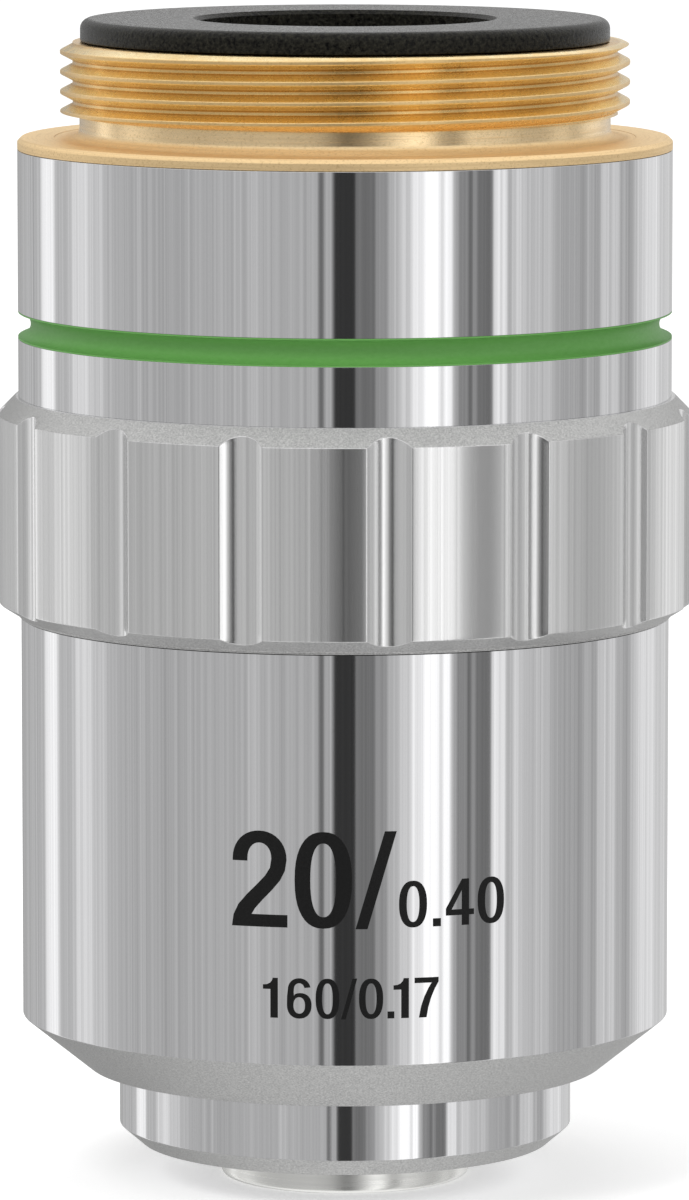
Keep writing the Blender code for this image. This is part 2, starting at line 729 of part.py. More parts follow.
def make_lens_stack():
    """Cells and spacers one on another in the barrel, from the front cell up."""
    make_front_group()
    make_second_lens()
    spacer("front_spacer")
    seat = lens_cell("third_cell", CENTRED_CELL_R, THIRD_DOUBLET["diameter"])
    make_doublet("third", THIRD_DOUBLET, *seat, ("crown", "flint"))
    spacer("middle_spacer")
    seat = lens_cell("fourth_cell", CELL_R, FOURTH_DOUBLET["diameter"])
    make_doublet("fourth", FOURTH_DOUBLET, *seat, ("crown", "flint"))
    spacer("rear_spacer")
    seat = lens_cell("rear_cell", CELL_R, REAR_DOUBLET["diameter"])
    make_doublet("rear", REAR_DOUBLET, *seat, ("flint", "crown"))
    ring = "cell_retaining_ring"
    slotted_ring(ring, CELL_R, SPACER_BORE_R, STACK[ring], stack_z(ring))


def clear_scene():
    for obj in list(bpy.data.objects):
        bpy.data.objects.remove(obj)


def bake(obj):
    """Applies the modifiers, then shades the round faces smooth between sharp edges."""
    evaluated = obj.evaluated_get(bpy.context.evaluated_depsgraph_get())
    mesh = bpy.data.meshes.new_from_object(evaluated)
    obj.modifiers.clear()
    obj.data = mesh
    mesh.shade_smooth()
    mesh.set_sharp_from_angle(angle=SHARP_ANGLE)


def main():
    clear_scene()
    make_mount()
    make_upper_sleeve()
    make_colour_ring()
    make_grip_ring()
    make_lower_sleeve()
    make_rear_stop_ring()
    make_lens_barrel()
    make_centring_screws()
    make_focus_lock_ring()
    make_lens_stack()
    bpy.context.view_layer.update()
    for obj in collection("microscope_objective").objects:
        bake(obj)


main()
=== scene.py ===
import json
import math
from functools import partial

import bmesh
import bpy
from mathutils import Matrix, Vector


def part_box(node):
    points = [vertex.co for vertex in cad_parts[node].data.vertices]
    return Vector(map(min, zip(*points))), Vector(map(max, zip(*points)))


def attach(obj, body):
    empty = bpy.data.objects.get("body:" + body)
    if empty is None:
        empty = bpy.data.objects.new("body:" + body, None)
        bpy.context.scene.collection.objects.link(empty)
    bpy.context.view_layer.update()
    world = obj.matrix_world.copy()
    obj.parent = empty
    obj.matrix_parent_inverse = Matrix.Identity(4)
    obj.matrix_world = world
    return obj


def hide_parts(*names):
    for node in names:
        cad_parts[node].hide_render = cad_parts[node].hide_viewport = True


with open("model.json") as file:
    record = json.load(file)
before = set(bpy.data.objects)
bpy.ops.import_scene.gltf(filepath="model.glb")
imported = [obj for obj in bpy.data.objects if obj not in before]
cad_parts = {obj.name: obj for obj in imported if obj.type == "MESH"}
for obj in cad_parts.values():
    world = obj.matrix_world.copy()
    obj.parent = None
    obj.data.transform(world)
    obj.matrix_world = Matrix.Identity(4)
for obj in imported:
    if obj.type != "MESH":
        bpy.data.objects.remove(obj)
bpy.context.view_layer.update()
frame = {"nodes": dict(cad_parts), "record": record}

mm = 0.001
scene = bpy.context.scene
scene.view_settings.view_transform = "Standard"
slotOf = {part["node"]: part["material_slot"] for part in frame["record"]["subparts"]}


def span(node):
    # outer radius, lowest and highest point of a CAD node, in millimetres
    low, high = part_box(node)
    return high[0] / mm, low[2] / mm, high[2] / mm


def newObject(name, data):
    obj = bpy.data.objects.new(name, data)
    scene.collection.objects.link(obj)
    return obj


def newPiece(name, shape):
    mesh = bpy.data.meshes.new(name)
    shape.to_mesh(mesh)
    shape.free()
    return newObject(name, mesh)


# Camera, on the side that the thread starts from, looking slightly down
cameraSetup = {
    "distance": 300.0,
    "pitchDegrees": 7.1,
    "lens": 251.9,
    "lookAtHeight": 20.72,
    "sideways": -0.02,
}


def placeCamera(setup):
    pitch = math.radians(setup["pitchDegrees"])
    lens = bpy.data.cameras.new("photoCamera")
    lens.lens = setup["lens"]
    lens.clip_start = 0.01
    lens.clip_end = 20.0
    camera = newObject("photoCamera", lens)
    camera.location = (
        setup["sideways"] * mm,
        -setup["distance"] * math.cos(pitch) * mm,
        (setup["lookAtHeight"] + setup["distance"] * math.sin(pitch)) * mm,
    )
    camera.rotation_euler = (math.pi / 2 - pitch, 0.0, 0.0)
    scene.camera = camera


placeCamera(cameraSetup)
print("camera placed")


# Small helpers for node trees
def addNode(tree, kind, inputs=None, **settings):
    node = tree.nodes.new(kind)
    for key, value in settings.items():
        setattr(node, key, value)
    for key, value in (inputs or {}).items():
        if isinstance(value, bpy.types.NodeSocket):
            tree.links.new(value, node.inputs[key])
        else:
            node.inputs[key].default_value = value
    return node


def calc(tree, operation, *values):
    return addNode(tree, "ShaderNodeMath", dict(enumerate(values)), operation=operation).outputs[0]


def sums(tree):
    # the four kinds of sum as short functions for one tree
    return [partial(calc, tree, operation) for operation in ("ADD", "SUBTRACT", "MULTIPLY", "DIVIDE")]


def blendColour(tree, factor, first, second):
    node = addNode(tree, "ShaderNodeMix", data_type="RGBA")
    tree.links.new(factor, node.inputs[0])
    for index, value in ((6, first), (7, second)):
        if isinstance(value, bpy.types.NodeSocket):
            tree.links.new(value, node.inputs[index])
        else:
            node.inputs[index].default_value = (*value, 1.0)
    return node.outputs[2]


def blendLevel(tree, mask, level, brightness):
    kept = calc(tree, "MULTIPLY", level, calc(tree, "SUBTRACT", 1.0, mask))
    return calc(tree, "ADD", kept, calc(tree, "MULTIPLY", mask, brightness))


def remap(tree, value, fromLow, fromHigh, toLow=0.0, toHigh=1.0, smooth=False):
    values = {0: value, 1: fromLow, 2: fromHigh, 3: toLow, 4: toHigh}
    way = "SMOOTHSTEP" if smooth else "LINEAR"
    return addNode(tree, "ShaderNodeMapRange", values, interpolation_type=way).outputs[0]


def combined(tree, *values):
    return addNode(tree, "ShaderNodeCombineXYZ", dict(enumerate(values))).outputs[0]


def split(tree, point):
    # a point's coordinates, and the point at no height
    axes = addNode(tree, "ShaderNodeSeparateXYZ", {0: point}).outputs
    return axes, combined(tree, axes["X"], axes["Y"], 0.0)


def aroundAxis(tree, point):
    # a point's coordinates, and its distance from the barrel's axis
    axes, flat = split(tree, point)
    return axes, addNode(tree, "ShaderNodeVectorMath", {0: flat}, operation="LENGTH").outputs["Value"]


def objectPoint(tree):
    return addNode(tree, "ShaderNodeTexCoord").outputs["Object"]


def makeNoise(tree, place, scale, detail, roughness):
    values = {"Vector": place, "Scale": scale, "Detail": detail, "Roughness": roughness}
    return addNode(tree, "ShaderNodeTexNoise", values).outputs["Fac"]


socketKinds = {float: "Float", int: "Int", bpy.types.Material: "Material"}


def newTree(name, kind, inputs, **outputs):
    # the kind of each input follows from its value, which is also its default
    tree = bpy.data.node_groups.new(name, kind)
    addSocket = tree.interface.new_socket
    if kind == "GeometryNodeTree":
        addSocket("Blank", in_out="INPUT", socket_type="NodeSocketGeometry")
    for label, value in inputs.items():
        socket = addSocket(label, in_out="INPUT", socket_type="NodeSocket" + socketKinds[type(value)])
        socket.default_value = value
    for label, result in outputs.items():
        addSocket(label, in_out="OUTPUT", socket_type="NodeSocket" + result)
    return tree, tree.nodes.new("NodeGroupInput").outputs, tree.nodes.new("NodeGroupOutput")


def newMaterial(name, **sockets):
    material = bpy.data.materials.new(name)
    material.use_nodes = True
    tree = material.node_tree
    shader = tree.nodes["Principled BSDF"]
    for label, value in sockets.items():
        shader.inputs[label.replace("_", " ")].default_value = value
    return material, tree, shader.inputs


# Studio: what the polished metal sees, by angle round the object (0 at the camera, + to its right)
studio = {
    "wall": 0.552,
    "fillLevel": 0.78,
    "skyLevel": 1.15,
    "groundLevel": 1.04,
    "skyFrom": 0.28,
    "skyTo": 0.55,
    "groundFrom": -0.66,
    "groundTo": -0.93,
    "streaks": 0.20,
    "streakScale": 90.0,
    "panels": [  # from angle, to angle, brightness, softness of the edge, in degrees
        (-190, -177, 0.76, 2),
        (-177, -166, 0.41, 2),
        (-166, -159, 0.45, 2),
        (-159, -150, 0.52, 3),
        (-150, -138.5, 0.57, 3),
        (-138.5, -135, 0.62, 2),
        (-134, -122.6, 1.18, 2.2),
        (-122.6, -112, 0.62, 1.5),
        (-112, -100.2, 0.92, 2.0),
        (-101, -92.8, 0.73, 1.5),
        (-92.8, -86, 0.60, 1.5),
        (-70, -58, 0.51, 3),
        (-33.5, -30.5, 0.66, 1),
        (-9.2, -7.3, 0.17, 0.7),
        (-4.3, 4.1, 0.045, 1.1),
        (4.1, 11, 0.215, 0.9),
        (11, 15, 0.38, 0.9),
        (15, 17, 0.55, 0.8),
        (17, 19.2, 0.67, 0.8),
        (19.2, 23, 0.80, 0.9),
        (23, 27, 1.12, 1.0),
        (27, 37.5, 1.42, 0.9),
        (33.3, 34.6, 0.95, 0.5),
        (39.5, 43, 0.31, 0.9),
        (43, 53, 0.205, 1.0),
        (45.2, 46.9, 0.38, 0.6),
        (53, 58.5, 1.06, 0.9),
        (58.8, 61.3, 0.62, 0.8),
        (61.3, 66, 0.82, 1.2),
        (66, 78, 0.68, 2),
        (78, 89.5, 0.51, 2),
        (89.5, 93, 0.43, 1.5),
        (97, 100.5, 0.46, 1.5),
        (101, 112, 0.76, 1.5),
        (117, 121, 0.47, 1.5),
        (121.5, 124.5, 0.64, 1.5),
        (124.5, 127.5, 0.80, 1.5),
        (127.5, 146, 0.91, 2),
        (146, 163, 0.75, 3),
        (163, 174, 0.60, 3),
        (174, 190, 0.68, 2),
    ],
}


def makeStudio(setup):
    world = bpy.data.worlds.new("studio")
    world.use_nodes = True
    tree = world.node_tree
    tree.nodes.clear()
    axes, flat = split(tree, addNode(tree, "ShaderNodeTexCoord").outputs["Generated"])
    forward = calc(tree, "MULTIPLY", axes["Y"], -1.0)
    degrees = calc(tree, "DEGREES", calc(tree, "ARCTAN2", axes["X"], forward))
    level = setup["wall"]
    for start, end, brightness, softness in setup["panels"]:
        rising = remap(tree, degrees, start - softness, start + softness, smooth=True)
        falling = remap(tree, degrees, end - softness, end + softness, 1.0, 0.0, smooth=True)
        level = blendLevel(tree, calc(tree, "MULTIPLY", rising, falling), level, brightness)
    around = addNode(tree, "ShaderNodeVectorMath", {0: flat}, operation="NORMALIZE").outputs[0]
    streak = makeNoise(tree, around, setup["streakScale"], 3.0, 0.7)
    streak = remap(tree, streak, 0.3, 0.7, 1.0 - setup["streaks"], 1.0 + setup["streaks"])
    level = calc(tree, "MULTIPLY", level, streak)
    for part in ("sky", "ground"):
        mask = remap(tree, axes["Z"], setup[part + "From"], setup[part + "To"], smooth=True)
        level = blendLevel(tree, mask, level, setup[part + "Level"])
    path = addNode(tree, "ShaderNodeLightPath").outputs
    level = blendLevel(tree, path["Is Glossy Ray"], setup["fillLevel"], level)
    plain = calc(tree, "MAXIMUM", path["Is Camera Ray"], path["Is Transmission Ray"])
    strength = blendLevel(tree, plain, level, 1.0)
    light = addNode(tree, "ShaderNodeBackground", {"Color": (1.0, 1.0, 1.0, 1.0), "Strength": strength})
    addNode(tree, "ShaderNodeOutputWorld", {"Surface": light.outputs[0]})
    scene.world = world


lamps = {
    "keyLamp": {"at": (-0.35, -0.45, 0.60), "size": 0.40, "watts": 2.4},
    "fillLamp": {"at": (0.50, -0.30, 0.40), "size": 0.50, "watts": 1.0},
}
lampTarget = Vector((0.0, 0.0, 0.02))


def hangLamp(name, setup):
    lamp = bpy.data.lights.new(name, "AREA")
    lamp.shape = "DISK"
    lamp.size = setup["size"]
    lamp.energy = setup["watts"]
    holder = newObject(name, lamp)
    holder.location = setup["at"]
    holder.visible_glossy = False
    holder.rotation_euler = (lampTarget - holder.location).to_track_quat("-Z", "Y").to_euler()


floorSetup = {"radius": 3.0, "drop": 0.02, "colour": (0.93, 0.93, 0.93, 1.0), "lift": 0.30}


def layFloor(setup):
    plate = bmesh.new()
    bmesh.ops.create_circle(plate, cap_ends=True, segments=96, radius=setup["radius"])
    floor = newPiece("floor", plate)
    floor.location.z = -setup["drop"] * mm
    floor.visible_glossy = False    # the metal sees the studio's panels down to the ground
    paper, tree, shader = newMaterial("floorPaper", Base_Color=setup["colour"], Roughness=0.9,
                                      Specular_IOR_Level=0.0, Emission_Color=(1.0, 1.0, 1.0, 1.0))
    path = addNode(tree, "ShaderNodeLightPath").outputs
    seen = calc(tree, "MAXIMUM", path["Is Camera Ray"], path["Is Glossy Ray"])
    seen = calc(tree, "MAXIMUM", seen, path["Is Transmission Ray"])
    tree.links.new(calc(tree, "MULTIPLY", seen, setup["lift"]), shader["Emission Strength"])
    floor.data.materials.append(paper)


makeStudio(studio)
for lampName, lampSetup in lamps.items():
    hangLamp(lampName, lampSetup)
layFloor(floorSetup)
print("studio lit")


# Shader effects that several finishes share
def spread(tree, noise, contrast):
    wide = calc(tree, "MULTIPLY_ADD", calc(tree, "SUBTRACT", noise, 0.5), contrast, 0.5)
    return addNode(tree, "ShaderNodeClamp", {0: wide}).outputs[0]


def giveMarks(tree, given, result, mask):
    # a group's outputs: the mask, and the normal of a bump that follows it
    depths = {"Height": mask, "Distance": given["Depth"], "Strength": given["Strength"]}
    tree.links.new(mask, result.inputs["Mask"])
    tree.links.new(addNode(tree, "ShaderNodeBump", depths).outputs[0], result.inputs["Normal"])
    return tree


def stretched(tree, around, along):
    values = {0: objectPoint(tree), 1: combined(tree, around, around, along)}
    return addNode(tree, "ShaderNodeVectorMath", values, operation="MULTIPLY").outputs[0]


def makeStreakGroup():
    # long marks along the barrel, fine around it
    inputs = {"Around": 4000.0, "Along": 20.0, "Contrast": 1.0}
    tree, given, result = newTree("barrelStreaks", "ShaderNodeTree", inputs, Mask="Float")
    place = stretched(tree, given["Around"], given["Along"])
    mask = spread(tree, makeNoise(tree, place, 1.0, 2.0, 0.6), given["Contrast"])
    tree.links.new(mask, result.inputs["Mask"])
    return tree


def makeTurningGroup():
    # fine rings that a turning tool leaves, round the axis on every face
    inputs = {"Scale": 9000.0, "Depth": 0.000002, "Strength": 0.3}
    tree, given, result = newTree("turningMarks", "ShaderNodeTree", inputs, Mask="Float", Normal="Vector")
    axes, radius = aroundAxis(tree, objectPoint(tree))
    drift = calc(tree, "MULTIPLY", calc(tree, "ADD", axes["X"], axes["Y"]), 0.02)
    ring = combined(tree, radius, axes["Z"], drift)
    return giveMarks(tree, given, result, makeNoise(tree, ring, given["Scale"], 2.0, 0.55))


def makeGrainGroup():
    # the broken surface of ground, cast or mottled metal
    inputs = {"Scale": 9000.0, "Flatten": 1.0, "Contrast": 1.5, "Depth": 0.000006, "Strength": 0.4}
    tree, given, result = newTree("metalGrain", "ShaderNodeTree", inputs, Mask="Float", Normal="Vector")
    noise = makeNoise(tree, stretched(tree, 1.0, given["Flatten"]), given["Scale"], 4.0, 0.65)
    return giveMarks(tree, given, result, spread(tree, noise, given["Contrast"]))


streakGroup = makeStreakGroup()
turningGroup = makeTurningGroup()
grainGroup = makeGrainGroup()


def useGroup(tree, group, values):
    node = tree.nodes.new("ShaderNodeGroup")
    node.node_tree = group
    for label, value in values.items():
        node.inputs[label].default_value = value
    return node.outputs


# Finishes that go from one colour and roughness to another as the mask of their group goes from 0 to 1
polishedChrome = {
    "shader": {"Metallic": 1.0},
    "group": streakGroup,
    "pattern": {"Around": 7000.0, "Along": 3.0, "Contrast": 2.2},
    "marks": {"Scale": 14000.0, "Depth": 0.0000012, "Strength": 0.08},
}
turnedMetal = {    # seen mostly inside
    "shader": {"Metallic": 1.0},
    "group": turningGroup,
    "pattern": {"Scale": 8000.0, "Depth": 0.000002, "Strength": 0.3},
}
coatedGlass = {
    "group": grainGroup,
    "pattern": {"Scale": 1500.0, "Contrast": 1.0},
    "roughness": (0.004, 0.016),
    "smooth": True,
}
glassShader = {"Transmission_Weight": 1.0, "Thin_Film_Thickness": 125.0, "Thin_Film_IOR": 1.38}
finishLooks = {
    "sleeveChrome": {
        **polishedChrome,
        "colours": ((0.63, 0.63, 0.64), (0.80, 0.80, 0.81)),
        "roughness": (0.06, 0.03),
    },
    "gripChrome": {
        **polishedChrome,
        "colours": ((0.65, 0.65, 0.65), (0.87, 0.87, 0.87)),
        "roughness": (0.25, 0.15),
    },
    "noseChrome": {
        **polishedChrome,
        "colours": ((0.64, 0.64, 0.65), (0.80, 0.80, 0.81)),
        "roughness": (0.09, 0.04),
    },
    "groundChromeAndShade": {    # the dull chamfers and the cone, and painted shade on the grip's foot land
        "shader": {"Metallic": 1.0},
        "group": grainGroup,
        "pattern": {"Scale": 15000.0, "Flatten": 1.5, "Contrast": 2.4, "Depth": 0.000008, "Strength": 0.5},
        "colours": ((0.32, 0.32, 0.32), (0.60, 0.60, 0.59)),
        "roughness": (0.48, 0.32),
    },
    "blackAnodised": {
        "shader": {"Specular_IOR_Level": 0.115},
        "group": grainGroup,
        "pattern": {"Scale": 7500.0, "Contrast": 3.6, "Depth": 0.000010, "Strength": 0.9},
        "colours": ((0.001, 0.001, 0.001), (0.020, 0.019, 0.014)),
        "roughness": (0.12, 0.30),
    },
    "greenEnamel": {
        "shader": {"Specular_IOR_Level": 0.25},
        "group": grainGroup,
        "pattern": {"Scale": 5000.0, "Flatten": 2.0, "Contrast": 1.6, "Depth": 0.000003, "Strength": 0.2},
        "colours": ((0.096, 0.280, 0.060), (0.124, 0.320, 0.082)),
        "roughness": (0.50, 0.40),
    },
    "markingPaint": {
        "shader": {"Specular_IOR_Level": 0.20},
        "group": grainGroup,
        "pattern": {"Scale": 14000.0, "Contrast": 1.8},
        "colours": ((0.003, 0.003, 0.003), (0.008, 0.008, 0.008)),
        "roughness": (0.55, 0.42),
        "smooth": True,
    },
    "blackened_brass": {
        **turnedMetal,
        "shader": {"Metallic": 0.35},
        "colours": ((0.020, 0.018, 0.016), (0.050, 0.044, 0.038)),
        "roughness": (0.62, 0.46),
    },
    "bright_brass": {
        **turnedMetal,
        "colours": ((0.62, 0.45, 0.20), (0.82, 0.64, 0.34)),
        "roughness": (0.44, 0.28),
    },
    "screw_steel": {
        **turnedMetal,
        "colours": ((0.44, 0.44, 0.46), (0.62, 0.62, 0.63)),
        "roughness": (0.42, 0.28),
    },
    "polished_steel": {
        **turnedMetal,
        "colours": ((0.78, 0.78, 0.76), (0.90, 0.90, 0.87)),
        "roughness": (0.38, 0.20),
    },
    "crown_glass": {
        **coatedGlass,
        "shader": {"IOR": 1.52, **glassShader},
        "colours": ((0.95, 0.985, 0.97), (0.96, 0.995, 0.98)),
    },
    "flint_glass": {
        **coatedGlass,
        "shader": {"IOR": 1.62, **glassShader},
        "colours": ((0.98, 0.97, 0.93), (0.99, 0.98, 0.94)),
    },
}


def makeFinish(name, look):
    material, tree, shader = newMaterial(name, **look["shader"])
    pattern = useGroup(tree, look["group"], look["pattern"])
    tree.links.new(blendColour(tree, pattern["Mask"], *look["colours"]), shader["Base Color"])
    tree.links.new(remap(tree, pattern["Mask"], 0.0, 1.0, *look["roughness"]), shader["Roughness"])
    if "marks" in look:
        pattern = useGroup(tree, turningGroup, look["marks"])
    if not look.get("smooth"):
        tree.links.new(pattern["Normal"], shader["Normal"])
    return material


# Brass of the mount: mottled gold with fine turning lines, paler on the flange, with a paler colour on the
# neck as painted light, painted shade in the thread roots and the fillet at the neck's foot, and a darker
# colour on the crests
brassLook = {
    "thread": (0.99, 0.73, 0.35),
    "bright": (1.0, 0.83, 0.48),
    # a darker colour on the thread crests
    "crest": (0.86, 0.61, 0.29),
    # painted shade: a darker colour in the thread roots
    "root": (0.82, 0.55, 0.23),
    # painted light: a paler colour that brightens the concave neck
    "neck": (0.96, 0.74, 0.44),
    "foot": (0.94, 0.71, 0.40),
    # painted shade: a darker, less metallic colour in the fillet at the neck's foot
    "corner": (0.86, 0.64, 0.34),
    "stain": (0.46, 0.28, 0.10),
    "stainShare": 0.40,
    "lineShare": 0.25,
    "crestRadii": (10.05, 10.10),    # from no crest colour to all of it
    "rootRadii": (9.80, 9.70),
    "cornerRadii": (10.10, 9.85),
    "threadHeights": (37.95, 38.25),
    "neckHeights": (37.40, 37.60),
    "threadRoughness": 0.34,
    "mottleShine": 0.12,
    "crestWear": 0.08,
    "neckRoughness": 0.22,
    "footRoughness": 0.52,
    "cornerShadeMetalCut": 0.65,    # how far the corner's painted shade lowers the metal, which also hides the fillet's reflection
}


def makeMountBrass(look):
    material, tree, shader = newMaterial("mountBrass")
    axes, radius = aroundAxis(tree, objectPoint(tree))

    def between(value, limits, smooth=False):
        return remap(tree, value, limits[0] * mm, limits[1] * mm, smooth=smooth)

    inThread = between(axes["Z"], look["threadHeights"])
    aboveFoot = between(axes["Z"], look["neckHeights"])
    # the outermost part of each crest
    onCrest = calc(tree, "MULTIPLY", between(radius, look["crestRadii"], True), inThread)
    # painted shade in the roots of the thread
    rootPaintedShade = calc(tree, "MULTIPLY", between(radius, look["rootRadii"], True), inThread)
    onFoot = calc(tree, "SUBTRACT", 1.0, aboveFoot)
    # painted shade in the fillet at the neck's foot
    cornerPaintedShade = calc(tree, "MULTIPLY", between(radius, look["cornerRadii"]), onFoot)
    mottle = useGroup(tree, grainGroup, {"Scale": 1900.0, "Flatten": 1.6, "Contrast": 2.6})
    speck = useGroup(tree, grainGroup, {"Scale": 10000.0, "Flatten": 1.6, "Contrast": 2.6})
    marks = useGroup(tree, turningGroup, {"Scale": 13000.0, "Depth": 0.000007, "Strength": 0.75})
    colour = blendColour(tree, mottle["Mask"], look["thread"], look["bright"])
    # painted light: below the thread the neck takes its paler colour
    colour = blendColour(tree, inThread, look["neck"], colour)
    colour = blendColour(tree, aboveFoot, look["foot"], colour)
    # painted shade in the corner and the thread roots, and a darker colour on the crests
    for mask, zone in ((cornerPaintedShade, "corner"), (onCrest, "crest"), (rootPaintedShade, "root")):
        colour = blendColour(tree, mask, colour, look[zone])
    stain = remap(tree, speck["Mask"], 0.05, 0.50, look["stainShare"], 0.0)
    lines = remap(tree, marks["Mask"], 0.30, 0.50, look["lineShare"], 0.0)
    colour = blendColour(tree, calc(tree, "MAXIMUM", stain, lines), colour, look["stain"])
    rough = calc(tree, "MULTIPLY_ADD", mottle["Mask"], -look["mottleShine"], look["threadRoughness"])
    rough = calc(tree, "MULTIPLY_ADD", onCrest, look["crestWear"], rough)
    rough = remap(tree, inThread, 0.0, 1.0, look["neckRoughness"], rough)
    rough = remap(tree, aboveFoot, 0.0, 1.0, look["footRoughness"], rough)
    tree.links.new(colour, shader["Base Color"])
    tree.links.new(rough, shader["Roughness"])
    # painted shade: the corner is less metallic
    tree.links.new(calc(tree, "MULTIPLY_ADD", cornerPaintedShade, -look["cornerShadeMetalCut"], 1.0), shader["Metallic"])
    tree.links.new(marks["Normal"], shader["Normal"])
    return material


finishes = {name: makeFinish(name, look) for name, look in finishLooks.items()}
finishes["mountBrass"] = makeMountBrass(brassLook)
print("finishes made:", len(finishes))


# Turned pieces: a section of corners (radius, height, fillet) in millimetres, spun round the axis
roundSteps = 5
guardShare = 0.35    # strip beside a fillet that keeps the faces next to it flat
filletShare = 0.45    # the most of a side that one fillet takes
spinMerge = 1e-8


def rounded(corners):
    points = []
    for index, corner in enumerate(corners):
        here = Vector(corner[:2])
        if len(corner) == 2:
            points.append(here)
            continue
        before = Vector(corners[index - 1][:2]) - here
        after = Vector(corners[(index + 1) % len(corners)][:2]) - here
        half = before.angle(after) / 2
        reach = min(corner[2] / math.tan(half), filletShare * before.length, filletShare * after.length)
        fillet = reach * math.tan(half)
        before.normalize()
        after.normalize()
        centre = here + (before + after).normalized() * (fillet / math.sin(half))
        start = here + before * reach - centre
        sweep = start.angle_signed(here + after * reach - centre)
        points.append(here + before * reach * (1.0 + guardShare))
        for step in range(roundSteps + 1):
            turn = -sweep * step / roundSteps
            cosine, sine = math.cos(turn), math.sin(turn)
            swung = Vector((start.x * cosine - start.y * sine, start.x * sine + start.y * cosine))
            points.append(centre + swung)
        points.append(here + after * reach * (1.0 + guardShare))
    return points


def spun(name, points, segments, closed=True):
    section = bmesh.new()
    verts = [section.verts.new((radius * mm, 0.0, height * mm)) for radius, height in points]
    pairs = list(zip(verts, verts[1:]))
    if closed:
        pairs.append((verts[-1], verts[0]))
    edges = [section.edges.new(pair) for pair in pairs]
    bmesh.ops.spin(section, geom=verts + edges, cent=(0, 0, 0), axis=(0, 0, 1), angle=math.tau,
                   steps=segments, use_merge=True)
    bmesh.ops.remove_doubles(section, verts=section.verts, dist=spinMerge)
    bmesh.ops.recalc_face_normals(section, faces=section.faces)
    return newPiece(name, section)


def smoothed(obj, degrees=30.0):
    obj.data.shade_smooth()
    obj.data.set_sharp_from_angle(angle=math.radians(degrees))
    return obj


def cleaned(obj):
    # points that fall together become one, and every face looks outwards
    shape = bmesh.new()
    shape.from_mesh(obj.data)
    bmesh.ops.remove_doubles(shape, verts=shape.verts, dist=5e-7)
    bmesh.ops.recalc_face_normals(shape, faces=shape.faces)
    shape.to_mesh(obj.data)
    shape.free()
    return obj


def finalMesh(obj):
    # a new mesh of what the object looks like with its modifiers
    return bpy.data.meshes.new_from_object(obj.evaluated_get(bpy.context.evaluated_depsgraph_get()))


def applyModifiers(obj):
    mesh = finalMesh(obj)
    obj.modifiers.clear()
    obj.data = mesh


def cutAway(obj, name, cutters):
    tool = newPiece(name, cutters)
    cut = obj.modifiers.new(name, "BOOLEAN")
    cut.object = tool
    cut.operation = "DIFFERENCE"
    applyModifiers(obj)
    bpy.data.objects.remove(tool)


def dress(obj, *names):
    obj.data.materials.clear()
    for name in names:
        obj.data.materials.append(finishes[name])


def paintDull(obj, test):
    # test gets a face's radius and height in millimetres, and how far it looks up
    for face in obj.data.polygons:
        centre = face.center / mm
        if test(math.hypot(centre.x, centre.y), centre.z, face.normal.z):
            face.material_index = 1


def standFor(obj, *nodes):
    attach(obj, "root")
    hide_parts(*nodes)
    print(obj.name, "stands for", ", ".join(nodes), "with", len(obj.data.polygons), "faces")


# Geometry node trees
def runTree(obj, makeTree, lengths, **values):
    # lengths are in millimetres, and an underscore in the name of another value is a space
    values = {label.replace("_", " "): value for label, value in values.items()}
    values.update({label: length * mm for label, length in lengths.items()})
    tree = makeTree(values)
    modifier = obj.modifiers.new(tree.name, "NODES")
    modifier.node_group = tree
    for item in tree.interface.items_tree:
        if item.in_out == "INPUT" and item.name in values:
            modifier[item.identifier] = values[item.name]
    applyModifiers(obj)


def endTree(tree, geometry, material, result):
    real = addNode(tree, "GeometryNodeRealizeInstances", {0: geometry}).outputs[0]
    clad = addNode(tree, "GeometryNodeSetMaterial", {"Geometry": real, "Material": material})
    tree.links.new(clad.outputs[0], result.inputs[0])
    return tree


# Mount: one brass turning, whose thread is cut by the rule of a right-hand helix
mountSetup = {
    "segments": 300,
    "crestRadius": 10.11,
    "leadInset": 0.20,
    "leadDrop": 0.10,
    "leadSteps": 5,
    "leadRounding": 0.04,
    "threadLength": 2.61,
    "threadRows": 150,
    "neckInset": 0.69,
    "runout": 0.14,
    "runoutSteps": 8,
    "runoutEdge": 0.10,
    "neckLength": 0.77,
    "neckFillet": 0.42,
    "seatOutset": 0.20,
    "seatRelief": 0.012,
    "seatEdge": 0.03,
    "flangeThickness": 0.37,
    "flangeChamfer": 0.14,
    "flangeEdge": 0.05,
    "flangeFootEdge": 0.02,
    "sleeveJoint": 0.035,    # the flange comes down on the sleeve, with a hair line between them
    "skirtRadius": 10.55,
    "skirtChamfer": 0.30,
    "boreRadius": 8.60,
    "rearBoreRadius": 8.75,
    "rearBoreDepth": 4.20,
    "turnsPerInch": 36,
    "depthShare": 0.640327,
    "sharpShare": 0.960491,
    "crestRounding": 0.11,
    "firstCrestHeight": 0.56,
    "startDegrees": 2.5,
    "belowThread": 0.02,    # how far under and inside the thread the helix still moves points
    "insideNeck": 0.1,
    "smoothDegrees": 50.0,
}


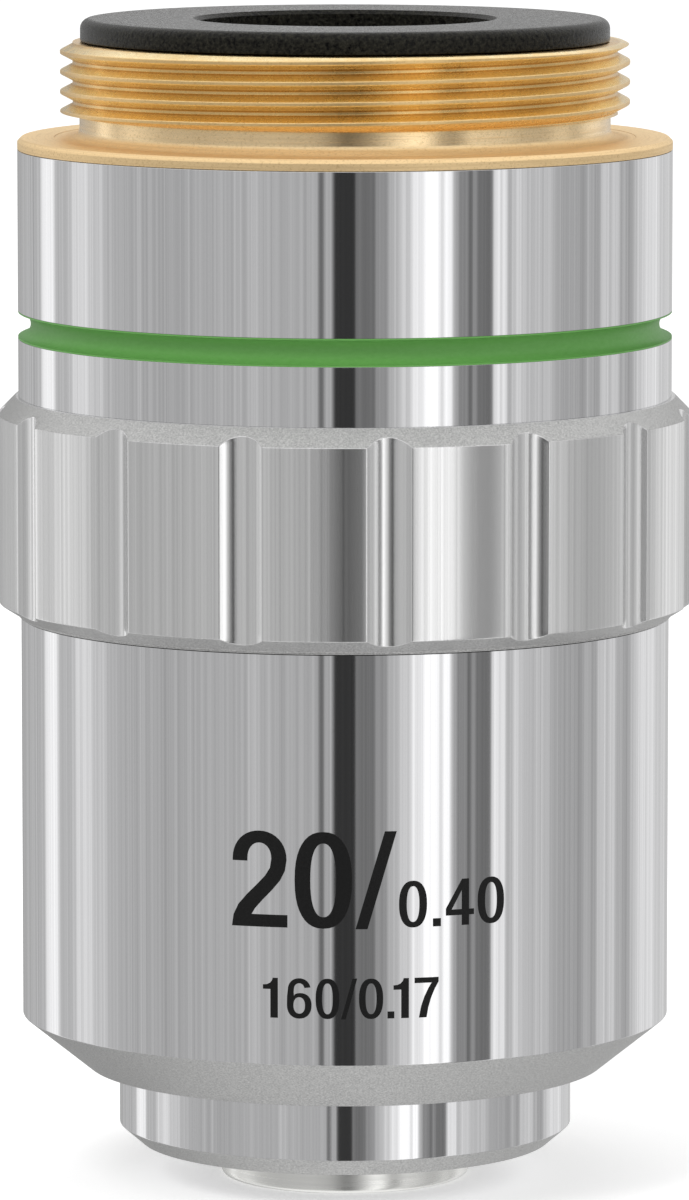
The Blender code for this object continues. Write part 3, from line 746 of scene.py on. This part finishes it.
def makeThreadTree(values):
    tree, given, result = newTree("helicalThread", "GeometryNodeTree", values, Mount="Geometry")
    add, take, times, over = sums(tree)
    axes, radius = aroundAxis(tree, addNode(tree, "GeometryNodeInputPosition").outputs[0])
    angle = over(calc(tree, "ARCTAN2", axes["Y"], axes["X"]), math.tau)
    rise = over(take(axes["Z"], given["First Crest"]), given["Pitch"])
    turn = calc(tree, "FRACT", add(take(rise, angle), 0.5))
    ramp = take(1.0, times(calc(tree, "ABSOLUTE", take(turn, 0.5)), 2.0))
    cut = over(take(given["Sharp Depth"], given["Depth"]), 2.0)
    height = take(times(ramp, given["Sharp Depth"]), cut)
    height = calc(tree, "SMOOTH_MIN", height, given["Depth"], given["Rounding"])
    height = calc(tree, "SMOOTH_MAX", height, 0.0, given["Rounding"])
    core = take(given["Crest Radius"], given["Depth"])
    wanted = calc(tree, "SMOOTH_MIN", radius, add(core, height), given["Lead Rounding"])
    factor = over(wanted, radius)
    above = calc(tree, "GREATER_THAN", axes["Z"], given["From Height"])
    outside = calc(tree, "GREATER_THAN", radius, given["From Radius"])
    cutThread = addNode(tree, "GeometryNodeSetPosition", {
        "Geometry": given["Blank"],
        "Selection": times(above, outside),
        "Position": combined(tree, times(axes["X"], factor), times(axes["Y"], factor), axes["Z"]),
    }).outputs[0]
    return endTree(tree, cutThread, given["Brass"], result)


def makeMount(setup):
    outer, low, high = span("mount")
    crest = setup["crestRadius"]
    pitch = 25.4 / setup["turnsPerInch"]
    threadFoot = high - setup["threadLength"]
    shoulder = threadFoot - setup["neckLength"]
    relief = shoulder - setup["seatRelief"]
    neck = crest - setup["neckInset"]
    seat = crest + setup["seatOutset"]
    flangeFoot = shoulder - setup["flangeThickness"] - setup["sleeveJoint"]
    skirt = setup["skirtRadius"]
    rearBoreFoot = high - setup["rearBoreDepth"]
    top = high - setup["leadDrop"]
    foot = threadFoot + setup["runout"]

    def stretch(start, end, steps):
        # points on a straight stretch, without its end, close enough for the helix to bend it
        return [tuple(a + (b - a) * step / steps for a, b in zip(start, end)) for step in range(steps)]

    lead = stretch((crest - setup["leadInset"], high), (crest, top), setup["leadSteps"])
    thread = stretch((crest, top), (crest, foot), setup["threadRows"])
    runout = stretch((crest, foot), (neck, threadFoot), setup["runoutSteps"])
    below = rounded([
        (neck, threadFoot, setup["runoutEdge"]),
        (neck, relief, setup["neckFillet"]),
        (seat, relief, setup["seatEdge"]),
        (seat, shoulder, setup["seatEdge"]),
        (outer - setup["flangeChamfer"], shoulder, setup["flangeEdge"]),
        (outer, shoulder - setup["flangeChamfer"], setup["flangeEdge"]),
        (outer, flangeFoot, setup["flangeFootEdge"]),
        (skirt, flangeFoot),
        (skirt, low + setup["skirtChamfer"]),
        (skirt - setup["skirtChamfer"], low),
        (setup["boreRadius"], low),
        (setup["boreRadius"], rearBoreFoot),
        (setup["rearBoreRadius"], rearBoreFoot),
        (setup["rearBoreRadius"], high),
    ])
    mount = spun("brassMount", lead + thread + runout + below, setup["segments"])
    runTree(mount, makeThreadTree, {
        "Pitch": pitch,
        "Crest Radius": crest,
        "Depth": setup["depthShare"] * pitch,
        "Sharp Depth": setup["sharpShare"] * pitch,
        "Rounding": setup["crestRounding"] * pitch,
        "Lead Rounding": setup["leadRounding"],
        "First Crest": shoulder + setup["firstCrestHeight"] - pitch * setup["startDegrees"] / 360,
        "From Height": threadFoot - setup["belowThread"],
        "From Radius": neck - setup["insideNeck"],
    }, Brass=finishes["mountBrass"])
    smoothed(mount, setup["smoothDegrees"])
    standFor(mount, "mount")


makeMount(mountSetup)


# Rear stop ring: a black cap with a shank in the mount
stopRingSetup = {
    "segments": 200,
    "ringHeight": 0.77,
    "edge": 0.36,
    "holeRadius": 5.25,
    "lipWidth": 0.14,
    "lipEdge": 0.02,
    "ringWall": 1.25,
    "fineEdge": 0.03,
    "shankRadius": 8.70,
    "shankWall": 0.80,
    "shankEdge": 0.05,
}


def makeStopRing(setup):
    outer, low, high = span("rear_stop_ring")
    ledge = high - setup["ringHeight"]
    ceiling = high - setup["ringWall"]
    shank = setup["shankRadius"]
    shankBore = shank - setup["shankWall"]
    hole = setup["holeRadius"]
    ring = spun("rearStopRing", rounded([
        (outer, high, setup["edge"]),
        (outer, ledge, setup["fineEdge"]),
        (shank, ledge),
        (shank, low, setup["shankEdge"]),
        (shankBore, low, setup["shankEdge"]),
        (shankBore, ceiling),
        (hole, ceiling, setup["fineEdge"]),
        (hole, high - setup["lipWidth"], setup["lipEdge"]),
        (hole + setup["lipWidth"], high, setup["lipEdge"]),
    ]), setup["segments"])
    dress(smoothed(ring), "blackAnodised")
    standFor(ring, "rear_stop_ring")


makeStopRing(stopRingSetup)


# Upper sleeve with the groove for the colour ring
upperSleeveSetup = {
    "segments": 256,
    "boreRadius": 10.60,
    "edge": 0.02,
    "gripJoint": 0.047,
    "grooveFromBottom": 2.515,
    "grooveWidth": 0.99,
    "grooveDepth": 0.56,
    "grooveLip": 0.004,
    "grooveSteps": 20,
    "enamelInset": 0.004,
    "enamelThickness": 0.10,
    "fitGap": 0.008,
}


def grooveArc(surface, middle, halfWidth, depth, steps, upwards=False):
    turns = [math.pi * step / steps for step in range(steps + 1)]
    sign = -1.0 if upwards else 1.0
    return [(surface - depth * math.sin(turn), middle + sign * halfWidth * math.cos(turn)) for turn in turns]


def makeUpperSleeve(setup):
    outer, low, high = span("upper_sleeve")
    middle = low + setup["grooveFromBottom"]
    lip = setup["grooveLip"]
    half = setup["grooveWidth"] / 2
    upper = rounded([(setup["boreRadius"], high), (outer, high, setup["edge"]), (outer, middle + half + lip)])
    foot = low - setup["gripJoint"]
    lower = rounded([(outer, middle - half - lip), (outer, foot), (setup["boreRadius"], foot)])
    arc = grooveArc(outer - lip, middle, half, setup["grooveDepth"] - lip, setup["grooveSteps"])
    sleeve = spun("upperSleeve", upper + arc + lower, setup["segments"])
    dress(smoothed(sleeve), "sleeveChrome")
    standFor(sleeve, "upper_sleeve")

    surface = outer - setup["enamelInset"]
    backHalf = half - setup["fitGap"]
    backDepth = setup["grooveDepth"] - setup["fitGap"] - setup["enamelInset"]
    faceHalf = backHalf - setup["enamelThickness"] / 2
    faceDepth = backDepth - setup["enamelThickness"]
    face = grooveArc(surface, middle, faceHalf, faceDepth, setup["grooveSteps"])
    back = grooveArc(surface, middle, backHalf, backDepth, setup["grooveSteps"], upwards=True)
    ring = spun("colourRing", face + back, setup["segments"])
    dress(smoothed(ring), "greenEnamel")
    standFor(ring, "colour_ring")


makeUpperSleeve(upperSleeveSetup)


# Grip ring: a turned ring with flutes, whose edges run exactly where flute and chamfer meet
gripSetup = {
    "flutes": 15,
    "phaseDegrees": 7.1,    # from the side that the camera sees to the first flute
    "columnsInFlute": 10,
    "columnsOnLand": 18,
    "lengths": {
        "Flute Width": 1.60,
        "Flute Depth": 0.33,
        "Bore Radius": 10.60,
        "Top Width": 0.62,
        "Top Height": 0.63,
        "Foot Width": 0.72,
        "Foot Height": 0.45,
        "Foot Land": 0.08,
        "Guard": 0.17,    # a strip that keeps the land flat beside its rounded edges
    },
    "edge": 0.15,
    "edgeSteps": 4,
    "edgeDegrees": 24.0,    # edges sharper than this are rounded
    "dullFrom": 0.3,    # faces that look up or down this far are ground dull
    "dullTo": 0.98,
    "boreMargin": 0.1,
}


def makeFluteTree(values):
    # a flat grid of columns and rows is wound into the ring: each row is one corner of the section
    tree, given, result = newTree("flutedRing", "GeometryNodeTree", values, Ring="Geometry")
    add, take, times, over = sums(tree)

    def either(mask, first, second):
        return addNode(tree, "ShaderNodeMix", {0: mask, 2: first, 3: second}).outputs[0]

    def squared(value):
        return calc(tree, "POWER", value, 2.0)

    landRadius = given["Land Radius"]
    fluteDepth = given["Flute Depth"]
    perFlute = add(given["In Flute"], given["On Land"])
    rows = 9
    gridSize = {"Vertices X": add(times(perFlute, given["Flutes"]), 1.0), "Vertices Y": rows + 1}
    grid = addNode(tree, "GeometryNodeMeshGrid", gridSize).outputs["Mesh"]
    index = addNode(tree, "GeometryNodeInputIndex").outputs[0]
    column = calc(tree, "FLOOR", over(add(index, 0.5), rows + 1.0))
    row = calc(tree, "ROUND", take(index, times(column, rows + 1.0)))
    row = calc(tree, "MODULO", row, float(rows))

    # the flute's arc: its radius from width and depth, and where its circle is centred
    bulge = add(over(squared(given["Flute Width"]), 4.0), squared(fluteDepth))
    cutter = over(bulge, times(fluteDepth, 2.0))
    away = add(take(landRadius, fluteDepth), cutter)
    square = take(add(squared(landRadius), squared(away)), squared(cutter))
    halfFlute = calc(tree, "ARCCOSINE", over(square, times(times(landRadius, away), 2.0)))
    sector = over(math.tau, given["Flutes"])

    # where each column stands: its angle, and the outer radius there
    number = calc(tree, "FLOOR", over(add(column, 0.5), perFlute))
    within = take(column, times(number, perFlute))
    onLand = calc(tree, "GREATER_THAN", within, given["In Flute"])
    fluteAngle = times(take(over(times(within, 2.0), given["In Flute"]), 1.0), halfFlute)
    past = over(take(within, given["In Flute"]), given["On Land"])
    landAngle = add(halfFlute, times(past, take(sector, times(halfFlute, 2.0))))
    local = either(onLand, fluteAngle, landAngle)
    inner = take(squared(cutter), squared(times(away, calc(tree, "SINE", local))))
    inward = calc(tree, "SQRT", calc(tree, "MAXIMUM", inner, 0.0))
    fluteRadius = take(times(away, calc(tree, "COSINE", local)), inward)
    surface = calc(tree, "MINIMUM", either(onLand, fluteRadius, landRadius), landRadius)
    angle = add(add(times(number, sector), local), given["Phase"])

    # the section's corners, from the foot's bore round the outside to the top's bore
    footRadius = take(landRadius, given["Foot Width"])
    topRadius = take(landRadius, given["Top Width"])
    footLand = add(given["Foot"], given["Foot Land"])
    footShare = over(take(surface, footRadius), given["Foot Width"])
    footEdge = add(footLand, times(footShare, given["Foot Height"]))
    topShare = over(take(surface, topRadius), given["Top Width"])
    topEdge = take(given["Top"], times(topShare, given["Top Height"]))
    corners = [
        (given["Bore Radius"], given["Foot"]),
        (footRadius, given["Foot"]),
        (footRadius, footLand),
        (surface, footEdge),
        (surface, add(footEdge, given["Guard"])),
        (surface, take(topEdge, given["Guard"])),
        (surface, topEdge),
        (topRadius, given["Top"]),
        (given["Bore Radius"], given["Top"]),
    ]
    radius, height = corners[0]
    for order, corner in enumerate(corners[1:], start=1):
        reached = calc(tree, "GREATER_THAN", row, order - 0.5)
        radius = either(reached, radius, corner[0])
        height = either(reached, height, corner[1])
    place = combined(tree, times(radius, calc(tree, "COSINE", angle)),
                     times(radius, calc(tree, "SINE", angle)), height)
    wound = addNode(tree, "GeometryNodeSetPosition", {"Geometry": grid, "Position": place}).outputs[0]
    merged = addNode(tree, "GeometryNodeMergeByDistance", {"Geometry": wound, "Distance": 1e-7}).outputs[0]
    return endTree(tree, merged, given["Chrome"], result)


def makeGripRing(setup):
    outer, low, high = span("grip_ring")
    lengths = {"Land Radius": outer, "Foot": low, "Top": high, **setup["lengths"]}
    grip = newPiece("gripRing", bmesh.new())
    runTree(grip, makeFluteTree, lengths, Flutes=setup["flutes"], In_Flute=setup["columnsInFlute"],
            On_Land=setup["columnsOnLand"], Phase=math.radians(setup["phaseDegrees"] - 90.0),
            Chrome=finishes["gripChrome"])
    dress(cleaned(grip), "gripChrome", "groundChromeAndShade")
    bore = lengths["Bore Radius"] + setup["boreMargin"]
    paintedShadeTop = low + lengths["Foot Land"]

    # the grip's foot land, below the top of its strip, takes the dull finish as painted shade: a dark line
    # under the grip
    def isDull(radius, height, up):
        return radius > bore and (setup["dullFrom"] < abs(up) < setup["dullTo"] or height < paintedShadeTop)

    paintDull(grip, isDull)
    smoothed(grip, setup["edgeDegrees"])
    bevel = grip.modifiers.new("edges", "BEVEL")
    bevel.width = setup["edge"] * mm
    bevel.segments = setup["edgeSteps"]
    bevel.limit_method = "ANGLE"
    bevel.angle_limit = math.radians(setup["edgeDegrees"])
    applyModifiers(grip)
    smoothed(cleaned(grip))
    standFor(grip, "grip_ring")


makeGripRing(gripSetup)


# Lower sleeve with its dull cone
lowerSleeveSetup = {
    "segments": 256,
    "boreRadius": 10.60,
    "boreStep": 0.29,
    "stepHeight": 9.41,
    "coneEndRadius": 9.26,
    "coneLength": 1.85,
    "coneEdge": 0.05,
    "guideRadius": 8.15,
    "guideLength": 0.90,
    "guideEdge": 0.03,
    "gripJoint": 0.015,
    "smoothDegrees": 25.0,
    "dullSlope": -0.35,    # faces that look further down than this are ground dull
    "coneMargin": 0.01,
    "guideMargin": 0.2,
}


def makeLowerSleeve(setup):
    outer, low, high = span("lower_sleeve")
    top = high + setup["gripJoint"]
    cone = low + setup["coneLength"]
    guide = setup["guideRadius"]
    guideTop = low + setup["guideLength"]
    bore = setup["boreRadius"]
    innerBore = bore - setup["boreStep"]
    step = low + setup["stepHeight"]
    sleeve = spun("lowerSleeve", rounded([
        (outer, top),
        (outer, cone, setup["coneEdge"]),
        (setup["coneEndRadius"], low, setup["coneEdge"]),
        (guide, low, setup["guideEdge"]),
        (guide, guideTop),
        (innerBore, guideTop + setup["coneLength"]),
        (innerBore, step),
        (bore, step),
        (bore, top),
    ]), setup["segments"])
    dress(smoothed(sleeve, setup["smoothDegrees"]), "sleeveChrome", "groundChromeAndShade")
    highest = cone + setup["coneMargin"]
    inner = guide + setup["guideMargin"]
    slope = setup["dullSlope"]
    paintDull(sleeve, lambda radius, height, up: radius > inner and height < highest and up < slope)
    standFor(sleeve, "lower_sleeve")
    return outer


sleeveRadius = makeLowerSleeve(lowerSleeveSetup)


# Lens barrel, whose lower end is the nose
barrelSetup = {
    "segments": 224,
    "noseRadius": 8.10,
    "collarEnd": 14.47,
    "plainNose": 3.4,    # a ring of points here keeps the screw holes off the smooth nose
    "noseChamferWidth": 0.74,
    "noseChamferHeight": 0.64,
    "edge": 0.05,
    "tipHoleRadius": 4.50,
    "tipHoleEdge": 0.03,
    "noseWall": 1.20,
    "boreRadius": 6.60,
    "boreEdge": 0.04,
    "screwCount": 3,
    "screwHoleRadius": 0.65,
    "screwHeight": 10.87,
    "drillLength": 3.0,
    "drillSides": 32,
    "smoothDegrees": 25.0,
    "dullFrom": -0.95,    # faces that look down this far are ground dull
    "dullTo": -0.30,
    "chamferMargin": 0.01,
}


def screwDrills(setup):
    drills = bmesh.new()
    centre = (setup["noseRadius"] + setup["boreRadius"]) / 2
    width = setup["screwHoleRadius"] * mm
    for count in range(setup["screwCount"]):
        turn = math.tau * count / setup["screwCount"]
        outwards = Vector((math.cos(turn), math.sin(turn), 0.0))
        aim = outwards.to_track_quat("Z", "Y").to_matrix().to_4x4()
        aim.translation = (outwards * centre + Vector((0.0, 0.0, setup["screwHeight"]))) * mm
        bmesh.ops.create_cone(drills, cap_ends=True, segments=setup["drillSides"], radius1=width,
                              radius2=width, depth=setup["drillLength"] * mm, matrix=aim)
    return drills


def makeBarrel(setup):
    outer, low, high = span("lens_barrel")
    nose = setup["noseRadius"]
    chamferTop = low + setup["noseChamferHeight"]
    innerWall = low + setup["noseWall"]
    barrel = spun("lensBarrel", rounded([
        (outer, high, setup["edge"]),
        (outer, setup["collarEnd"]),
        (nose, setup["collarEnd"]),
        (nose, low + setup["plainNose"]),
        (nose, chamferTop, setup["edge"]),
        (nose - setup["noseChamferWidth"], low, setup["edge"]),
        (setup["tipHoleRadius"], low, setup["tipHoleEdge"]),
        (setup["tipHoleRadius"], innerWall),
        (setup["boreRadius"], innerWall),
        (setup["boreRadius"], high, setup["boreEdge"]),
    ]), setup["segments"])
    cutAway(barrel, "screwHoles", screwDrills(setup))
    dress(smoothed(barrel, setup["smoothDegrees"]), "noseChrome", "groundChromeAndShade")
    highest = chamferTop + setup["chamferMargin"]
    steep, shallow = setup["dullFrom"], setup["dullTo"]
    paintDull(barrel, lambda radius, height, up: height < highest and steep < up < shallow)
    standFor(barrel, "lens_barrel")


makeBarrel(barrelSetup)


# Front cell, the polished tip
frontCellSetup = {
    "segments": 160,
    "tipRadius": 4.45,
    "edge": 0.20,
    "lipRadius": 3.50,
    "lipFlare": 0.15,
    "lipHeight": 0.35,
    "lipEdge": 0.02,
    "boreRadius": 3.80,
    "boreFlare": 0.2,
    "shoulder": 2.52,
    "shoulderEdge": 0.04,
}


def makeFrontCell(setup):
    outer, low, high = span("front_cell")
    shoulder = setup["shoulder"]
    bore = setup["boreRadius"]
    lip = setup["lipRadius"]
    lipTop = low + setup["lipHeight"]
    cell = spun("frontCell", rounded([
        (outer, high, setup["shoulderEdge"]),
        (outer, shoulder, setup["shoulderEdge"]),
        (setup["tipRadius"], shoulder),
        (setup["tipRadius"], low, setup["edge"]),
        (lip + setup["lipFlare"], low, setup["lipEdge"]),
        (lip, lipTop),
        (bore, lipTop),
        (bore, shoulder),
        (bore + setup["boreFlare"], high),
    ]), setup["segments"])
    dress(smoothed(cell), "polished_steel")
    standFor(cell, "front_cell")


makeFrontCell(frontCellSetup)


# Glass that can be seen, as smooth lenses: a face's radius is minus where its middle is its highest point
lensSetups = {
    "frontLens": {
        "node": "front_lens", "radius": 3.75, "front": -12.0, "rear": -5.2, "thickness": 2.45,
    },
    "rearFlintLens": {
        "node": "rear_flint_lens", "radius": 4.20, "front": -12.0, "rear": 8.0, "thickness": 1.00,
    },
    "rearCrownLens": {
        "node": "rear_crown_lens", "radius": 4.20, "front": 8.0, "rear": 20.0, "thickness": 1.50,
    },
}
lensMesh = {"rings": 24, "segments": 128}


def bow(curve, radius):
    return math.copysign(abs(curve) - math.sqrt(curve**2 - radius**2), curve)


def makeLens(name, setup, shared):
    low = span(setup["node"])[1]
    edge = setup["radius"]
    # the node's lowest point is the front face's middle or its edge, whichever is lower
    frontMiddle = low - min(0.0, bow(setup["front"], edge))
    rearMiddle = frontMiddle + setup["thickness"]
    radii = [edge * ring / shared["rings"] for ring in range(shared["rings"] + 1)]
    rear = [(radius, rearMiddle + bow(setup["rear"], radius)) for radius in radii]
    front = [(radius, frontMiddle + bow(setup["front"], radius)) for radius in reversed(radii)]
    lens = spun(name, rear + front, shared["segments"], closed=False)
    dress(smoothed(lens), slotOf[setup["node"]])
    standFor(lens, setup["node"])


for lensName, lensSetup in lensSetups.items():
    makeLens(lensName, lensSetup, lensMesh)


# Rings that show down the rear port
portRings = {
    "rearCell": {"node": "rear_cell", "bore": 4.25, "ledge": 3.85, "ledgeHeight": 0.40},
    "cellRetainingRing": {"node": "cell_retaining_ring", "bore": 5.30, "slot": True},
    "focusLockRing": {"node": "focus_lock_ring", "bore": 6.90, "slot": True},
}
portRingShape = {"segments": 160, "edge": 0.05, "ledgeEdge": 0.03, "slotWidth": 1.20, "slotDepth": 0.60}


def slotBlade(reach, top, shared):
    blade = bmesh.new()
    bmesh.ops.create_cube(blade, size=1.0)
    sides = Vector((reach, shared["slotWidth"], 2 * shared["slotDepth"])) * mm
    bmesh.ops.scale(blade, verts=blade.verts, vec=sides)
    bmesh.ops.translate(blade, verts=blade.verts, vec=(0.0, 0.0, top * mm))
    return blade


def makePortRing(name, setup, shared):
    outer, low, high = span(setup["node"])
    edge = shared["edge"]
    inside = [(setup["bore"], low, edge)]
    if "ledge" in setup:
        step = low + setup["ledgeHeight"]
        ledgeEdge = shared["ledgeEdge"]
        inside = [(setup["ledge"], low, ledgeEdge), (setup["ledge"], step, ledgeEdge), (setup["bore"], step)]
    section = [(outer, high, edge), (outer, low, edge)] + inside + [(setup["bore"], high, edge)]
    ring = spun(name, rounded(section), shared["segments"])
    if setup.get("slot"):
        cutAway(ring, "slot", slotBlade(3 * outer, high, shared))
    dress(smoothed(ring), slotOf[setup["node"]])
    standFor(ring, setup["node"])


for ringName, ringSetup in portRings.items():
    makePortRing(ringName, ringSetup, portRingShape)


# Plain optical numbers, filled with black paint, wrapped round the lower sleeve
def arc(centreX, centreY, wide, tall, start, stop, steps=16, squareness=2.0):
    points = []
    for step in range(steps + 1):
        turn = math.radians(start + (stop - start) * step / steps)
        cosine, sine = math.cos(turn), math.sin(turn)
        points.append((
            centreX + math.copysign(wide * abs(cosine) ** (2 / squareness), cosine),
            centreY + math.copysign(tall * abs(sine) ** (2 / squareness), sine),
        ))
    return points


# each digit's outlines in a box one wide and one tall
digitShapes = {
    "0": [arc(0.5, 0.5, 0.50, 0.505, 0, 351, 39, 2.35), arc(0.5, 0.5, 0.225, 0.385, 0, 351, 39, 2.35)],
    "1": [[(0.50, 0.0), (1.0, 0.0), (1.0, 1.0), (0.66, 1.0), (0.60, 0.93), (0.46, 0.87), (0.26, 0.835),
           (0.0, 0.825), (0.0, 0.715), (0.50, 0.715)]],
    "2": [[(0.0, 0.0), (1.0, 0.0), (1.0, 0.13), (0.36, 0.13), (0.42, 0.19), (0.56, 0.285), (0.73, 0.39),
           (0.87, 0.49), (0.955, 0.59)] + arc(0.5, 0.705, 0.485, 0.30, 0, 180, 20, 2.1)
          + [(0.015, 0.685), (0.285, 0.685)] + arc(0.5, 0.715, 0.215, 0.165, 180, 0, 16, 2.1)
          + [(0.69, 0.62), (0.60, 0.535), (0.45, 0.44), (0.28, 0.34), (0.12, 0.23), (0.03, 0.12)]],
    "4": [[(0.56, 0.0), (0.82, 0.0), (0.82, 0.22), (1.0, 0.22), (1.0, 0.345), (0.82, 0.345), (0.82, 1.0),
           (0.57, 1.0), (0.0, 0.37), (0.0, 0.22), (0.56, 0.22)],
          [(0.56, 0.345), (0.56, 0.76), (0.205, 0.345)]],
    "6": [arc(0.5, 0.715, 0.465, 0.29, 12, 180, 18, 2.1) + [(0.005, 0.55), (0.0, 0.40)]
          + arc(0.5, 0.33, 0.50, 0.335, 180, 360, 20, 2.2) + arc(0.55, 0.34, 0.45, 0.295, 8, 118, 12, 2.2)
          + [(0.285, 0.565), (0.275, 0.66)] + arc(0.5, 0.725, 0.215, 0.155, 172, 14, 12, 2.1),
          arc(0.5, 0.325, 0.235, 0.205, 0, 348, 29, 2.2)],
    "7": [[(0.0, 1.0), (1.0, 1.0), (1.0, 0.885), (0.83, 0.70), (0.68, 0.48), (0.57, 0.25), (0.50, 0.0),
           (0.18, 0.0), (0.27, 0.28), (0.41, 0.53), (0.57, 0.73), (0.71, 0.865), (0.0, 0.865)]],
    "/": [[(0.0, -0.01), (0.29, -0.01), (1.0, 1.01), (0.71, 1.01)]],
    ".": [[(0.0, 0.0), (1.0, 0.0), (1.0, 0.175), (0.0, 0.175)]],
}
# each marking: foot and height, then every sign with its left and right edge round the barrel
markings = {
    "powerNumber": {"foot": 10.74, "height": 3.34, "signs": [
        ("2", -3.99, -2.00), ("0", -1.75, 0.24), ("/", 0.36, 1.79)]},
    "apertureNumber": {"foot": 10.74, "height": 1.62, "signs": [
        ("0", 1.87, 2.86), (".", 3.07, 3.36), ("4", 3.54, 4.58), ("0", 4.72, 5.74)]},
    "tubeNumbers": {"foot": 7.57, "height": 1.40, "signs": [
        ("1", -2.87, -2.34), ("6", -2.02, -1.16), ("0", -1.02, -0.20), ("/", -0.14, 0.42),
        ("0", 0.48, 1.32), (".", 1.47, 1.71), ("1", 1.68, 2.22), ("7", 2.42, 3.28)]},
}
markingSetup = {"proud": 0.006, "sunk": 0.02, "strip": 0.14}


def makeMarking(name, setup, shared):
    outline = bpy.data.curves.new(name, "CURVE")
    outline.dimensions = "2D"
    outline.fill_mode = "BOTH"
    for sign, left, right in setup["signs"]:
        for ring in digitShapes[sign]:
            spline = outline.splines.new("POLY")
            spline.points.add(len(ring) - 1)
            spline.use_cyclic_u = True
            for point, (x, y) in zip(spline.points, ring):
                point.co = (left + x * (right - left), setup["foot"] + y * setup["height"], 0.0, 1.0)
    writer = newObject(name + "Outline", outline)
    flat = bmesh.new()
    flat.from_mesh(finalMesh(writer))
    bpy.data.objects.remove(writer)
    bmesh.ops.remove_doubles(flat, verts=flat.verts, dist=1e-5)
    first, last = setup["signs"][0][1], setup["signs"][-1][2]
    strips = round((last - first) / shared["strip"])
    for strip in range(1, strips):    # cuts that let the signs bend round the sleeve
        everything = flat.verts[:] + flat.edges[:] + flat.faces[:]
        place = (first + (last - first) * strip / strips, 0, 0)
        bmesh.ops.bisect_plane(flat, geom=everything, plane_co=place, plane_no=(1, 0, 0), dist=1e-6)
    for item in bmesh.ops.extrude_face_region(flat, geom=flat.faces[:])["geom"]:
        if isinstance(item, bmesh.types.BMVert):
            item.co.z = 1.0
    bmesh.ops.recalc_face_normals(flat, faces=flat.faces)    # while the signs are thick blocks
    for vert in flat.verts:
        radius = sleeveRadius + (shared["proud"] if vert.co.z > 0.5 else -shared["sunk"])
        angle = vert.co.x / sleeveRadius
        vert.co = Vector((radius * math.sin(angle), -radius * math.cos(angle), vert.co.y)) * mm
    marking = newPiece(name, flat)
    dress(smoothed(marking), "markingPaint")
    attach(marking, "root")
    print(name, "written")


for markingName, signs in markings.items():
    makeMarking(markingName, signs, markingSetup)


# The pieces inside keep their CAD meshes and get their finish
for nodeName, node in frame["nodes"].items():
    if node.hide_render:
        continue
    dress(node, slotOf[nodeName])
    print(nodeName, "finished in", slotOf[nodeName])
